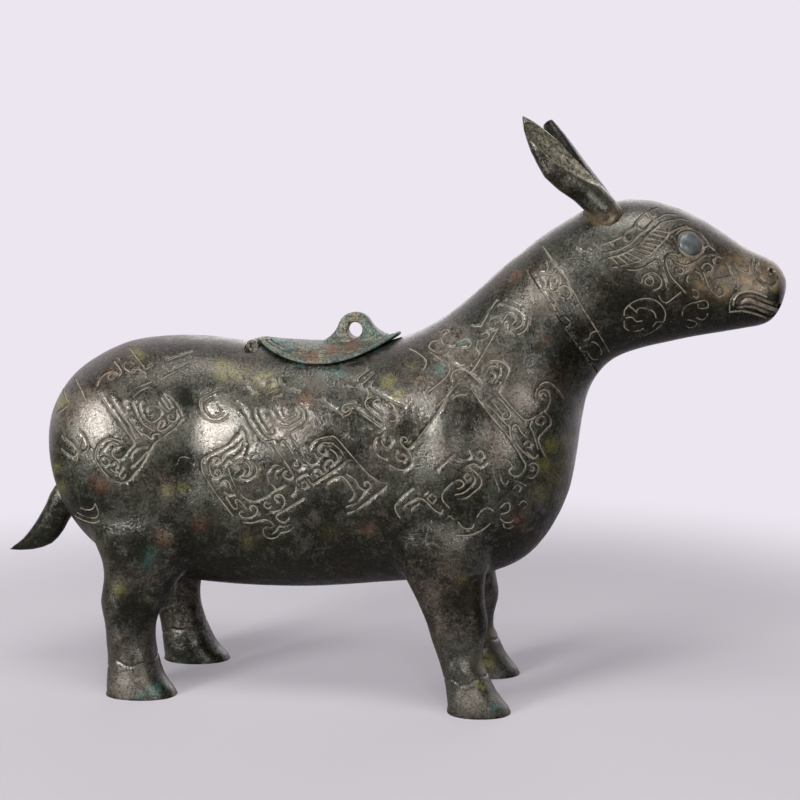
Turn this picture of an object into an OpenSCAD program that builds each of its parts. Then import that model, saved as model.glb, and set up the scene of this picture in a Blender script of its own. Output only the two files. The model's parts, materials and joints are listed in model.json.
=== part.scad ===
// Bronze zun in the form of a standing hoofed animal: a hollow cast vessel with a hinged lid on its back.
// Frame: +X towards the nose, +Z up, the ground at z = 0, and the animal's left at +Y.

/* [Vessel] */
// Length of the barrel, from the rump to the withers
barrel_length = 140; // [126:1:160]
// Height of the barrel, from the belly to the back
barrel_height = 97; // [87:1:108]
// Width of the barrel across the haunches
barrel_width = 70; // [62:1:80]
// Height of the belly above the ground
leg_height = 39; // [33:1:48]
// Forward reach of the neck, from the withers to the throat
neck_reach = 70; // [62:1:80]
// Rise of the crown above the back
crown_rise = 51; // [44:1:60]
// Thickness of the cast wall
wall = 3; // [2.2:0.1:3.6]

/* [Head] */
// Length of the head, from the throat to the nose
head_length = 66; // [58:1:76]
// Width of the head across the cheeks
head_width = 43; // [38:1:48]
// Length of the sleeve that joins the head to the neck
sleeve_length = 9; // [6:0.5:12]
// Thickness of that sleeve
sleeve_wall = 2; // [1.5:0.1:2.5]
// Gap between that sleeve and the inside of the neck
sleeve_gap = 0.3; // [0.2:0.05:0.5]
// Diameter of the inlaid eye
eye_d = 8.4; // [6:0.2:9.6]
// Height of the eye's dome above its rim
eye_dome = 1.6; // [0.8:0.1:2.4]
// Depth of the eye's socket
eye_depth = 1.8; // [1:0.1:2]
// Depth of the slit between the lips
mouth_depth = 2; // [1:0.1:2.4]
// Height of the slit between the lips
mouth_gap = 1.4; // [0.8:0.1:2]

/* [Ears and tail] */
// Length of an ear, from its root to its tip
ear_length = 44; // [34:1:50]
// Largest width of an ear
ear_width = 14.6; // [11:0.2:17]
// Thickness of the ear's leaf at its back
ear_wall = 2.6; // [2:0.1:3.2]
// Length of the tail, from the rump to its tip
tail_length = 34; // [28:1:42]
// Width of the tail at its root
tail_width = 9.2; // [7:0.2:11]
// Diameter of the tenons that fix the ears and the tail
tenon_d = 4.4; // [3:0.2:5]

/* [Legs] */
// Distance between the middles of the left and right hooves
track = 46; // [42:1:50]
// Thickness of a leg across, at the shank
shank_width = 16; // [14:0.5:18]
// How far the left hind hoof steps ahead of the right one
hind_step = 8; // [0:1:10]
// Wall of a hollow leg
leg_wall = 3; // [2.4:0.1:3.6]
// Thickness of the sole under the clay core
sole = 5; // [3:0.5:7]

/* [Lid] */
// Length of the lid
lid_length = 54; // [48:1:58]
// Width of the lid
lid_width = 38; // [34:1:41]
// Thickness of the lid
lid_t = 1.9; // [1.6:0.1:2.4]
// How far the lid overlaps the mouth all round
lid_overlap = 4.5; // [3.5:0.1:5.5]
// Gap between the lid and its seat
lid_gap = 0.3; // [0.3:0.05:0.5]
// Depth of the flange that drops into the mouth
flange_depth = 4; // [3:0.1:5]
// Thickness of that flange
flange_t = 1.8; // [1.4:0.1:2.2]
// Gap between that flange and the mouth
flange_gap = 0.9; // [0.7:0.1:1.2]
// Radius of the loop's rounded top
loop_r = 6.7; // [6:0.1:7.4]
// Diameter of the hole in the loop
loop_hole_d = 5.8; // [4:0.1:6.2]
// Thickness of the loop
loop_t = 4.6; // [3.6:0.1:6]
// Height of the hole's middle above the back
loop_rise = 5.5; // [5:0.1:7]

/* [Hinge] */
// Diameter of the hinge pin
pin_d = 2; // [1.6:0.1:2.4]
// Outside diameter of the hinge knuckles
knuckle_d = 4.4; // [4:0.1:5]
// Length of the lid's knuckle
knuckle_length = 11.4; // [9:0.2:13]
// Length of each fixed knuckle beside it
lug_length = 2.6; // [2:0.1:3.2]
// Running gap round the pin and between the knuckles
running_gap = 0.05; // [0.03:0.01:0.08]
// Gap between the ends of neighbouring knuckles
end_gap = 0.3; // [0.2:0.05:0.4]

/* [Hidden] */

bronze = "#4a4638";
green_bronze = "#5f6f5c";
clay = "#8a6a4a";
inlay = "#8f9694";

// Fullness of the cross-sections: 2 is an ellipse, and more is squarer
fullness = 2.2;
// Clearance of what is let into a pocket or hole
fit = 0.05;
// Overlap that makes a cut pass clean through, in millimetres and in stations
through = 1;
overrun = 0.4;
$fn = 48;

// Cross-sections of the vessel at its nominal sizes, from the rump to the nose.
// Each is [top x, top z, bottom x, bottom z, half-width, egg], where egg widens the upper half.
sections = [
  [-126, 100, -125.5, 90, 6, 0],
  [-125.3, 105.6, -124.5, 84.5, 12.5, 0],
  [-122.6, 113, -122.9, 77, 20, 0],
  [-116, 121.8, -118.9, 66.6, 27, 0],
  [-108.4, 127.6, -111.8, 56.6, 31.5, 0],
  [-99.4, 132.2, -102, 48.4, 34.2, 0],
  [-90, 134.7, -91.4, 43.5, 35, 0],
  [-73.2, 136, -73, 40.5, 33.2, 0],
  [-58.9, 135.2, -57, 39.3, 31.6, 0],
  [-45, 133.3, -42, 39, 32, 0],
  [-22, 132.4, -20, 39.8, 33, 0],
  [0, 133.8, 4, 42.4, 33.2, 0],
  [14, 137.3, 28, 45, 34.2, 0],
  [24, 142.3, 46, 48.2, 34.4, -0.04],
  [32, 148, 58, 54, 33.4, -0.08],
  [38.5, 153.5, 67, 64.5, 31.2, -0.12],
  [43.5, 158.2, 74, 80, 28.4, -0.12],
  [47.5, 161.8, 76.9, 98, 25.8, -0.1],
  [51, 164.8, 79.4, 114.5, 23.8, -0.06],
  [54.5, 167.5, 84, 124, 22.6, -0.02],
  [62.5, 173.7, 90, 129.5, 21.8, 0.02],
  [72, 179.8, 97, 132.3, 21.5, 0.05],
  [82, 185, 103, 134, 21.5, 0.08],
  [92, 186.7, 108, 135.1, 21.2, 0.1],
  [101, 186.5, 113, 136.3, 20.4, 0.1],
  [111, 183.8, 118.5, 137.5, 18.8, 0.08],
  [121, 178.8, 125, 138.6, 16.4, 0.04],
  [130, 172.9, 131.5, 139.8, 14.2, 0],
  [138, 168, 138, 141, 12.8, -0.02],
  [144, 165, 143.2, 142.2, 11.8, 0],
  [148, 161.6, 146.6, 145.6, 9.8, 0],
  [149.6, 158.8, 148.6, 150, 6, 0]
];
rump_pole = [-126.2, 94];
nose_pole = [150, 155];
hip = 7;
withers = 12;
collar = 19;
nose = len(sections) - 1;
// Where the hollow starts behind and ends in the muzzle
hollow_start = 2.2;
hollow_end = 27;

// Nominal corners of the zones that each driving size stretches
x_knots = [sections[0][0], sections[withers][0], sections[collar][2], nose_pole[0]];
z_knots = [0, sections[9][3], sections[hip][1], sections[23][1]];
x_sizes = [barrel_length, neck_reach, head_length];
z_sizes = [leg_height, barrel_height, crown_rise];
nominal_barrel = 2 * max([for (s = sections) s[4]]);
nominal_head = 2 * sections[22][4];

// A coordinate stretched zone by zone. Outside the zones it keeps its distance.
function stretch(v, k, s) =
  v <= k[0] ? v :
  v <= k[1] ? k[0] + (v - k[0]) * s[0] / (k[1] - k[0]) :
  v <= k[2] ? k[0] + s[0] + (v - k[1]) * s[1] / (k[2] - k[1]) :
  v <= k[3] ? k[0] + s[0] + s[1] + (v - k[2]) * s[2] / (k[3] - k[2]) :
  k[0] + s[0] + s[1] + s[2] + v - k[3];
tail_root = [-126, 71];
tail_tip_x = tail_root[0] - tail_length * cos(45);
function raw_x(x) = stretch(x, x_knots, x_sizes);
middle_x = (raw_x(nose_pole[0]) + raw_x(tail_tip_x)) / 2;
function fit_x(x) = raw_x(x) - middle_x;
function fit_z(z) = stretch(z, z_knots, z_sizes);
function neck_share(x) = min(1, max(0, (x - x_knots[1]) / (x_knots[2] - x_knots[1])));
function fit_w(w, x) =
  let (k = neck_share(x))
  w * ((1 - k) * barrel_width / nominal_barrel + k * head_width / nominal_head);

// A value on a smooth curve between b and c
function curve(a, b, c, d, t) =
  0.5 * (2 * b + (c - a) * t + (2 * a - 5 * b + 4 * c - d) * t * t + (3 * b - a - 3 * c + d) * t * t * t);

// The row of a table at a fractional index
function row(table, u) =
  let (n = len(table) - 1, i = min(n - 1, max(0, floor(u))))
  curve(table[max(0, i - 1)], table[i], table[i + 1], table[min(n, i + 2)], u - i);

function unit(v) = v / norm(v);
function lean_of(a, b) = abs(a[0] * b[1] - a[1] * b[0]);
function power(v, e) = sign(v) * pow(abs(v), e);
function spread(from, to, count) = [for (k = [0 : count]) from + (to - from) * k / count];
function middle(s) = [(s[0] + s[2]) / 2, (s[1] + s[3]) / 2];

// A cross-section of the vessel at its set sizes
function section(u) =
  let (s = row(sections, u))
  [fit_x(s[0]), fit_z(s[1]), fit_x(s[2]), fit_z(s[3]), fit_w(s[4], (s[0] + s[2]) / 2), s[5]];

// The same cross-section moved inwards by d, square to the surface
least_slope = 0.6;
function inset(u, d) =
  let (
    s = section(u),
    p = section(u - 0.1),
    q = section(u + 0.1),
    along = unit([s[0] - s[2], s[1] - s[3]]),
    top_run = unit([q[0] - p[0], q[1] - p[1]]),
    bottom_run = unit([q[2] - p[2], q[3] - p[3]]),
    top_cut = d / max(least_slope, lean_of(top_run, along)),
    bottom_cut = d / max(least_slope, lean_of(bottom_run, along)),
    flare = (q[4] - p[4]) / norm(middle(q) - middle(p)),
    side_cut = d * min(1 / least_slope, sqrt(1 + flare * flare))
  )
  [
    s[0] - along[0] * top_cut, s[1] - along[1] * top_cut,
    s[2] + along[0] * bottom_cut, s[3] + along[1] * bottom_cut,
    s[4] - side_cut, s[5]
  ];

// A point of a cross-section: 0 degrees is the animal's left, and 90 degrees is the top
function on_section(s, a) =
  let (up = power(sin(a), 2 / fullness), out = power(cos(a), 2 / fullness), m = middle(s))
  [m[0] + (s[0] - s[2]) / 2 * up, s[4] * out * (1 + s[5] * up), m[1] + (s[1] - s[3]) / 2 * up];
function ring(s, n) = [for (i = [0 : n - 1]) on_section(s, 360 * i / n)];
function end_of(s) = let (m = middle(s)) [m[0], 0, m[1]];
function pole(p) = [fit_x(p[0]), 0, fit_z(p[1])];

// Height of the back above the ground at a place along the vessel
back_line = [for (u = [0 : 0.1 : collar]) let (s = section(u)) [s[0], s[1]]];
function back_z(x) = lookup(x, back_line);

// A closed solid through rings of points, with a point to close each end
module loft(rings, first, last) {
  n = len(rings[0]);
  m = len(rings);
  points = concat([for (r = rings) each r], [first, last]);
  first_cap = [for (i = [0 : n - 1]) [m * n, i, (i + 1) % n]];
  last_cap = [for (i = [0 : n - 1]) [m * n + 1, (m - 1) * n + (i + 1) % n, (m - 1) * n + i]];
  sides = [
    for (j = [0 : m - 2], i = [0 : n - 1], half = [0, 1])
      let (a = j * n + i, b = j * n + (i + 1) % n)
      half == 0 ? [a, b + n, b] : [a, a + n, b + n]
  ];
  polyhedron(points, concat(first_cap, sides, last_cap));
}

// The vessel's form between two stations, moved inwards by d
around = 36;
station_steps = 2;
module form(from, to, d = 0, steps = station_steps, sides = around, first = undef, last = undef) {
  rings = [for (u = spread(from, to, ceil((to - from) * steps))) inset(u, d)];
  loft(
    [for (s = rings) ring(s, sides)],
    is_undef(first) ? end_of(rings[0]) : first,
    is_undef(last) ? end_of(rings[len(rings) - 1]) : last
  );
}

// Makes one closed skin of free forms that have been cut or joined
module one_skin() {
  resize([0, 0, 0]) children();
}

module body_form() {
  form(0, collar, first = pole(rump_pole));
}

module head_form() {
  form(collar, nose, last = pole(nose_pole));
}

hollow_steps = 1;
hollow_around = 20;
module hollow(from, to, d = wall) {
  form(from, to, d, hollow_steps, hollow_around);
}

// Lid, mouth and hinge places
lid_place = -17.2;
lid_x = fit_x(lid_place);
lid_rear_x = lid_x - lid_length / 2;
knuckle_r = knuckle_d / 2;
hinge_offset = 1.2;
hinge_sink = 0.6;
hinge_x = lid_rear_x - hinge_offset;
hinge_z = back_z(hinge_x) - hinge_sink;
swing_gap = 0.35;
// How far the pin's ends lie inside the hinge
pin_recess = 0.8;
hinge_length = knuckle_length + 2 * (end_gap + lug_length);
base_t = 1.5;
base_top_z = hinge_z - knuckle_r - swing_gap;
base_lip = 0.2;
base_half = knuckle_r + base_lip;
boss_margin = 2.6;
leaf_t = 0.8;
leaf_length = 6;
leaf_z = back_z(lid_rear_x) + lid_gap + (lid_t - leaf_t) / 2;
leaf_width = knuckle_length - 1.4;
// Height that passes clean through the back
tall = fit_z(sections[23][1]);

module oval(length, width) {
  translate([lid_x, 0]) scale([length / width, 1]) circle(d = width);
}

module oval_block(inside) {
  translate([0, 0, back_z(lid_x) - barrel_height / 2])
    linear_extrude(tall) oval(lid_length - 2 * inside, lid_width - 2 * inside);
}

// The hinge bracket's place in the back, and with a wide margin the boss round it
module hinge_pit(clear) {
  translate([hinge_x - base_half - clear, -hinge_length / 2 - clear, base_top_z - base_t - clear])
    cube([2 * (base_half + clear), hinge_length + 2 * clear, tall]);
}

// Tail
tail_rows = [
  [0.2, 0.24, 0.36, -0.12, 0.52],
  [-0.08, 0.14, 0.12, -0.21, 0.5],
  [-0.2, -0.08, 0, -0.4, 0.47],
  [-0.34, -0.31, -0.15, -0.57, 0.4],
  [-0.5, -0.51, -0.38, -0.65, 0.28],
  [-0.63, -0.61, -0.59, -0.668, 0.12]
];
tail_tip = [-cos(45), -0.667];
tail_steps = 2;
tail_around = 16;
function tail_point(x, z) = [fit_x(tail_root[0]) + tail_length * x, fit_z(tail_root[1]) + tail_length * z];
function tail_section(u) =
  let (r = row(tail_rows, u), t = tail_point(r[0], r[1]), b = tail_point(r[2], r[3]))
  [b[0], b[1], t[0], t[1], r[4] * tail_width, 0];
tail_end = tail_point(tail_tip[0], tail_tip[1]);
tail_tenon_angle = 45;
tenon_reach = 7;
tenon_fn = 24;

module tail_tenon(clear) {
  translate([fit_x(tail_root[0]), 0, fit_z(tail_root[1])])
    rotate([0, tail_tenon_angle, 0])
      translate([0, 0, -tenon_reach / 2])
        cylinder(d = tenon_d + 2 * clear, h = 2 * tenon_reach, $fn = tenon_fn);
}

// Ears
ear_root = [83, 182, 12];
ear_splay = 8;
// How far each ear leans back and turns its bowl outwards
right_pose = [39, 42];
left_pose = [30, 26];
// Share of the left ear's length that is left above its worn tip
left_wear = 0.9;
// [along, front, rear, half-width] as shares of the ear's length and width
ear_rows = [
  [-0.16, 0.42, -0.34, 0.34],
  [0, 0.52, -0.38, 0.42],
  [0.12, 0.4, -0.34, 0.46],
  [0.28, 0.28, -0.33, 0.5],
  [0.51, 0.2, -0.36, 0.48],
  [0.72, 0.17, -0.33, 0.38],
  [0.89, 0.1, -0.18, 0.19]
];
ear_steps = 2;
ear_around = 16;
// The ear's bowl: where it starts and ends, and how far its cut stands out of the leaf
bowl_from = 1.4;
bowl_to = 5.6;
bowl_rise = ear_width / 4;
bowl_rim = 0.6;
function ear_section(u) =
  let (r = row(ear_rows, u))
  [r[0] * ear_length, r[1] * ear_width, r[2] * ear_width, r[3] * ear_width];
function bowl_section(u) =
  let (s = ear_section(u))
  [s[0], s[1] + bowl_rise, s[2] + ear_wall, s[3] - bowl_rim * ear_wall];
function ear_ring(s) = [
  for (i = [0 : ear_around - 1])
    let (a = 360 * i / ear_around)
    [(s[1] + s[2]) / 2 + (s[1] - s[2]) / 2 * cos(a), s[3] * sin(a), s[0]]
];

module ear_place(side, pose) {
  translate([fit_x(ear_root[0]), side * fit_w(ear_root[2], ear_root[0]), fit_z(ear_root[1])])
    rotate([-side * ear_splay, -pose[0], 0]) rotate([0, 0, side * pose[1]]) children();
}

module ear_leaf() {
  stations = spread(0, len(ear_rows) - 1, (len(ear_rows) - 1) * ear_steps);
  loft([for (u = stations) ear_ring(ear_section(u))], [0, 0, ear_section(0)[0]], [0, 0, ear_length]);
}

module ear_bowl() {
  stations = spread(bowl_from, bowl_to, ceil((bowl_to - bowl_from) * ear_steps));
  loft(
    [for (u = stations) ear_ring(bowl_section(u))],
    [bowl_rise, 0, ear_section(bowl_from)[0] - ear_wall],
    [bowl_rise, 0, ear_section(bowl_to)[0] + ear_wall]
  );
}

module ear(side, pose, wear = 1) {
  one_skin() {
    difference() {
      ear_place(side, pose) difference() {
        ear_leaf();
        ear_bowl();
        translate([-ear_width, -ear_width, wear * ear_length])
          cube([2 * ear_width, 2 * ear_width, ear_length]);
      }
      head_form();
    }
    ear_place(side, pose) ear_tenon(0);
  }
}

module ear_tenon(clear) {
  translate([0, 0, -tenon_reach])
    cylinder(d = tenon_d + 2 * clear, h = tenon_reach + ear_length / 6, $fn = tenon_fn);
}

// Eyes
eye_station = 25.25;
eye_angle = 27;
eye_section = section(eye_station);
eye_here = on_section(eye_section, eye_angle);
eye_forward = on_section(section(eye_station + 0.1), eye_angle) - eye_here;
eye_upward = on_section(eye_section, eye_angle + 2) - eye_here;
eye_out = unit(cross(eye_upward, eye_forward));

module eye_place(side) {
  n = [eye_out[0], side * eye_out[1], eye_out[2]];
  translate([eye_here[0], side * eye_here[1], eye_here[2]])
    rotate([0, acos(n[2]), atan2(n[1], n[0])]) children();
}

module eye(side) {
  r = eye_d / 2;
  dome_r = (r * r + eye_dome * eye_dome) / (2 * eye_dome);
  eye_place(side) intersection() {
    translate([0, 0, -eye_depth]) cylinder(r = r, h = eye_depth + eye_dome);
    union() {
      translate([0, 0, eye_dome - dome_r]) sphere(dome_r);
      translate([0, 0, -eye_depth]) cylinder(r = r, h = eye_depth);
    }
  }
}

module eye_socket(side) {
  eye_place(side)
    translate([0, 0, -eye_depth - fit])
      cylinder(d = eye_d + 2 * fit, h = eye_depth + 3 * eye_dome, $fn = 32);
}

// Legs: [height, rear x, front x, half-width, inward lean]
fore_rows = [
  [0, 31, 52.6, 9.2, 0],
  [2, 31, 52, 9.4, 0],
  [6, 30.6, 49.8, 9.3, 0],
  [12, 29.7, 46.8, 8.5, 0],
  [20, 27.4, 43.2, 8, 0],
  [27, 24.8, 44, 8.2, 0],
  [33, 23, 45.4, 8.8, 0.3],
  [42, 19, 43.8, 10, 0.8],
  [51, 14, 44, 11.4, 1.4],
  [62, 8, 47, 13, 2],
  [76, 8, 46, 11.6, 3]
];
hind_rows = [
  [0, -100.4, -75.2, 9.2, 0],
  [2, -100.4, -75.4, 9.4, 0],
  [6, -100.2, -77.6, 9.3, 0],
  [12, -99.7, -79.4, 8.5, 0],
  [20, -99.5, -81, 8, 0],
  [28, -100, -80.6, 8, 0],
  [36, -101.8, -77.4, 8.8, 0.3],
  [44, -100.4, -72, 10, 0.8],
  [52, -101.4, -67, 11.6, 1.4],
  [63, -106, -62, 13, 2],
  [76, -108, -62, 11.6, 3]
];
nominal_shank = 16;
step_top = 44;
leg_steps = 2;
leg_around = 20;
core_around = 12;
core_top = 8.4;

function leg_ring(r, side, step, d, n) =
  let (
    shift = step * max(0, 1 - r[0] / step_top),
    rear = fit_x(r[1]) + shift + d,
    front = fit_x(r[2]) + shift - d,
    across = r[3] * shank_width / nominal_shank - d,
    y = side * (track / 2 - r[4])
  )
  [
    for (i = [0 : n - 1])
      let (a = 360 * i / n, out = power(cos(a), 2 / fullness), left = power(sin(a), 2 / fullness))
      [(rear + front) / 2 + (front - rear) / 2 * out, y + across * left, fit_z(r[0])]
  ];

function mean(points) = [
  for (k = [0 : 2]) [for (p = points) p[k]] * [for (p = points) 1] / len(points)
];
function core_start(rows) = lookup(sole, [for (i = [0 : len(rows) - 1]) [fit_z(rows[i][0]), i]]);

module leg_form(rows, side, step, d, from, to, n) {
  stations = spread(from, to, ceil((to - from) * leg_steps));
  rings = [for (u = stations) leg_ring(row(rows, u), side, step, d, n)];
  loft(rings, mean(rings[0]), mean(rings[len(rings) - 1]));
}

module leg(rows, side, step = 0) {
  one_skin() difference() {
    leg_form(rows, side, step, 0, 0, len(rows) - 1, leg_around);
    body_form();
    leg_form(rows, side, step, leg_wall, core_start(rows), core_top, core_around);
  }
}

module leg_core(rows, side, step = 0) {
  one_skin() difference() {
    leg_form(rows, side, step, leg_wall + fit, core_start(rows) + fit, core_top - fit, core_around);
    form(0, collar, -fit, first = pole(rump_pole));
  }
}

// Loop on the lid, drawn in the upright middle plane
loop_offset = 9.9;
loop_x = lid_x + loop_offset;
loop_z = back_z(loop_x) + loop_rise;
loop_root = 1.3;
loop_foot = lid_gap + lid_t - loop_rise;
// Radius of the hollow flanks that the loop spreads into, and half the length of its foot
loop_flare = 10;
loop_half = 12;
loop_spread = sqrt(pow(loop_r + loop_flare, 2) - pow(loop_foot + loop_flare, 2));
loop_neck = loop_r * (loop_foot + loop_flare) / (loop_r + loop_flare);
loop_tilt = atan2(back_z(loop_x + loop_half) - back_z(loop_x - loop_half), 2 * loop_half);
loop_floor = lid_gap + loop_root - loop_rise;

module loop_place(thickness) {
  translate([loop_x, thickness / 2, loop_z])
    rotate([90, -loop_tilt, 0]) linear_extrude(thickness) children();
}

module loop_outline() {
  difference() {
    union() {
      circle(loop_r);
      translate([-loop_half, loop_floor]) square([2 * loop_half, loop_neck - loop_floor]);
    }
    for (end = [-1, 1])
      translate([end * loop_spread, loop_foot + loop_flare]) circle(loop_flare);
    translate([-loop_r, loop_floor - 2 * loop_r]) square(2 * loop_r);
    circle(d = loop_hole_d);
  }
}

// A round bar along the hinge's axis
module hinge_bar(d, length, y) {
  translate([hinge_x, y, hinge_z]) rotate([-90, 0, 0]) cylinder(d = d, h = length);
}

module hinge_leaf(clear) {
  translate([hinge_x, -leaf_width / 2 - clear, leaf_z - clear])
    cube([leaf_length + clear, leaf_width + 2 * clear, leaf_t + 2 * clear]);
}

// Slit between the lips
mouth_line = [[132, 147.6], [151, 152]];
mouth_tilt = atan2(mouth_line[1][1] - mouth_line[0][1], mouth_line[1][0] - mouth_line[0][0]);

module mouth_slit() {
  difference() {
    translate([fit_x(mouth_line[0][0]), -head_width / 2, fit_z(mouth_line[0][1])])
      rotate([0, -mouth_tilt, 0]) cube([head_length, head_width, mouth_gap]);
    form(collar + 3, nose - 1, mouth_depth);
  }
}

sleeve_pitch = norm(middle(section(collar)) - middle(section(collar - 1)));
sleeve_start = collar - sleeve_length / sleeve_pitch;
// Where the head's own hollow starts, past the sleeve's root
sleeve_root = collar + 1.5 * overrun;

// Sub-parts
module body_shell() {
  color(bronze) one_skin() difference() {
    union() {
      difference() {
        body_form();
        hollow(hollow_start, collar + overrun);
      }
      intersection() {
        hinge_pit(boss_margin);
        form(hip - 1, withers, wall / 2);
      }
    }
    oval_block(lid_overlap);
    hinge_pit(fit);
    tail_tenon(fit);
  }
}

module head_shell() {
  color(bronze) one_skin() difference() {
    union() {
      head_form();
      hollow(sleeve_start, collar + overrun, wall + sleeve_gap);
    }
    hollow(sleeve_root, hollow_end);
    hollow(sleeve_start - overrun, sleeve_root + overrun, wall + sleeve_gap + sleeve_wall);
    ear_place(-1, right_pose) ear_tenon(fit);
    ear_place(1, left_pose) ear_tenon(fit);
    eye_socket(-1);
    eye_socket(1);
    mouth_slit();
  }
}

module right_ear() {
  color(bronze) ear(-1, right_pose);
}

module left_ear() {
  color(bronze) ear(1, left_pose, left_wear);
}

module right_eye() {
  color(inlay) eye(-1);
}

module left_eye() {
  color(inlay) eye(1);
}

module tail() {
  stations = spread(0, len(tail_rows) - 1, (len(tail_rows) - 1) * tail_steps);
  rings = [for (u = stations) ring(tail_section(u), tail_around)];
  color(bronze) one_skin() {
    difference() {
      loft(rings, end_of(tail_section(0)), [tail_end[0], 0, tail_end[1]]);
      body_form();
    }
    tail_tenon(0);
  }
}

module right_fore_leg() {
  color(bronze) leg(fore_rows, -1);
}

module left_fore_leg() {
  color(bronze) leg(fore_rows, 1);
}

module right_hind_leg() {
  color(bronze) leg(hind_rows, -1);
}

module left_hind_leg() {
  color(bronze) leg(hind_rows, 1, hind_step);
}

module right_fore_core() {
  color(clay) leg_core(fore_rows, -1);
}

module left_fore_core() {
  color(clay) leg_core(fore_rows, 1);
}

module right_hind_core() {
  color(clay) leg_core(hind_rows, -1);
}

module left_hind_core() {
  color(clay) leg_core(hind_rows, 1, hind_step);
}

module hinge_bracket() {
  color(bronze) difference() {
    union() {
      translate([hinge_x - base_half, -hinge_length / 2, base_top_z - base_t])
        cube([2 * base_half, hinge_length, base_t]);
      for (y = [-hinge_length / 2, hinge_length / 2 - lug_length]) {
        hinge_bar(knuckle_d, lug_length, y);
        translate([hinge_x - knuckle_r, y, base_top_z - base_t / 2])
          cube([knuckle_d, lug_length, hinge_z - base_top_z + base_t / 2]);
      }
    }
    hinge_bar(pin_d + 2 * running_gap, hinge_length + 2 * through, -hinge_length / 2 - through);
  }
}

module hinge_pin() {
  color(bronze) hinge_bar(pin_d, hinge_length - 2 * pin_recess, pin_recess - hinge_length / 2);
}

module lid() {
  color(green_bronze) one_skin() difference() {
    union() {
      intersection() {
        oval_block(0);
        difference() {
          form(hip - 1, withers + 3, -lid_gap - lid_t);
          form(hip - 2, withers + 4, -lid_gap);
        }
      }
      intersection() {
        difference() {
          oval_block(lid_overlap + flange_gap);
          oval_block(lid_overlap + flange_gap + flange_t);
        }
        difference() {
          form(hip - 1, withers + 3, -lid_gap - lid_t / 2);
          form(hip - 2, withers + 4, flange_depth);
        }
      }
    }
    translate([lid_rear_x - through, -lid_width / 2, hinge_z - knuckle_d])
      cube([hinge_x + knuckle_r + swing_gap - lid_rear_x + through, lid_width, 3 * knuckle_d]);
    hinge_leaf(fit);
    loop_place(loop_t + 2 * fit)
      translate([-loop_half - fit, loop_floor - fit]) square([2 * (loop_half + fit), loop_r - loop_floor]);
  }
}

module lid_loop() {
  color(green_bronze) loop_place(loop_t) loop_outline();
}

module lid_knuckle() {
  color(green_bronze) difference() {
    union() {
      hinge_bar(knuckle_d, knuckle_length, -knuckle_length / 2);
      hinge_leaf(0);
    }
    hinge_bar(pin_d + 2 * running_gap, knuckle_length + 2 * through, -knuckle_length / 2 - through);
  }
}

body_shell();
head_shell();
right_ear();
left_ear();
right_eye();
left_eye();
tail();
right_fore_leg();
left_fore_leg();
right_hind_leg();
left_hind_leg();
right_fore_core();
left_fore_core();
right_hind_core();
left_hind_core();
hinge_bracket();
hinge_pin();
lid();
lid_loop();
lid_knuckle();
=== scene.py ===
"""Looks of a bronze wine vessel in the form of a standing animal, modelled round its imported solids."""

import json
import math

import bpy
import numpy as np
from mathutils import Matrix, Vector, noise as lumps
from mathutils.bvhtree import BVHTree
from mathutils.kdtree import KDTree


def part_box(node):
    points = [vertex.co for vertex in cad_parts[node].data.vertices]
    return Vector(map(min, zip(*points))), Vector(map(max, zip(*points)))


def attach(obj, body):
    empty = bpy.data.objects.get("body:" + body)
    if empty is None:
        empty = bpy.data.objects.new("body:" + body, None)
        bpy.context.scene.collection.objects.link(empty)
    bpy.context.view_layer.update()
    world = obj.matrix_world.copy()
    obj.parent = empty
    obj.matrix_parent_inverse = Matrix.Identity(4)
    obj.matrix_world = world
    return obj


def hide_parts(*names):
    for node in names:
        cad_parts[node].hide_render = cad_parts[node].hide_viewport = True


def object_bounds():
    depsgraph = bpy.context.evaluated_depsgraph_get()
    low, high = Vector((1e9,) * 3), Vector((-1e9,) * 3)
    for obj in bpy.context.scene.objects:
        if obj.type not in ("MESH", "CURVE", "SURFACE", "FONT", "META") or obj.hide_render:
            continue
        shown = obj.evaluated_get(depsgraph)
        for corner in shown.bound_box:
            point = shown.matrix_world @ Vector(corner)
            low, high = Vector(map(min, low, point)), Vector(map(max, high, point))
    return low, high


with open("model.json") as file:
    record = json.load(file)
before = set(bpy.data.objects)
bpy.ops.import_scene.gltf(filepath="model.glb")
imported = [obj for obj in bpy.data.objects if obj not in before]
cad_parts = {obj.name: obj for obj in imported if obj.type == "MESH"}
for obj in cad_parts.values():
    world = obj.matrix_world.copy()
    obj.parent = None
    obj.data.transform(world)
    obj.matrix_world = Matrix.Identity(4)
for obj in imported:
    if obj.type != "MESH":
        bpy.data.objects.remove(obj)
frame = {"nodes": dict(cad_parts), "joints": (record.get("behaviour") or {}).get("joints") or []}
cad_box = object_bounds()

MM = 0.001
METRE_MM = 1000
MERGE = 0.001 * MM
Z_AXIS = Vector((0, 0, 1))
# The animal's right side, which the photograph shows, and its left side
BOTH_SIDES = (1, -1)

# Camera, found from the photograph's outline of the vessel
FRAME_PIXELS = 800
LENS_MM = 61.83
SENSOR_MM = 36.0
CLIP_START = 0.01
CAMERA_PLACE = Vector((0.09034, -0.50977, 0.17537))
CAMERA_AIM = Vector((0.0096, 0.0, 0.1120))
FORWARD = (CAMERA_AIM - CAMERA_PLACE).normalized()
RIGHT = FORWARD.cross(Z_AXIS).normalized()
UP = RIGHT.cross(FORWARD)
MIDDLE = FRAME_PIXELS / 2
FOCAL = FRAME_PIXELS * LENS_MM / SENSOR_MM

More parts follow.
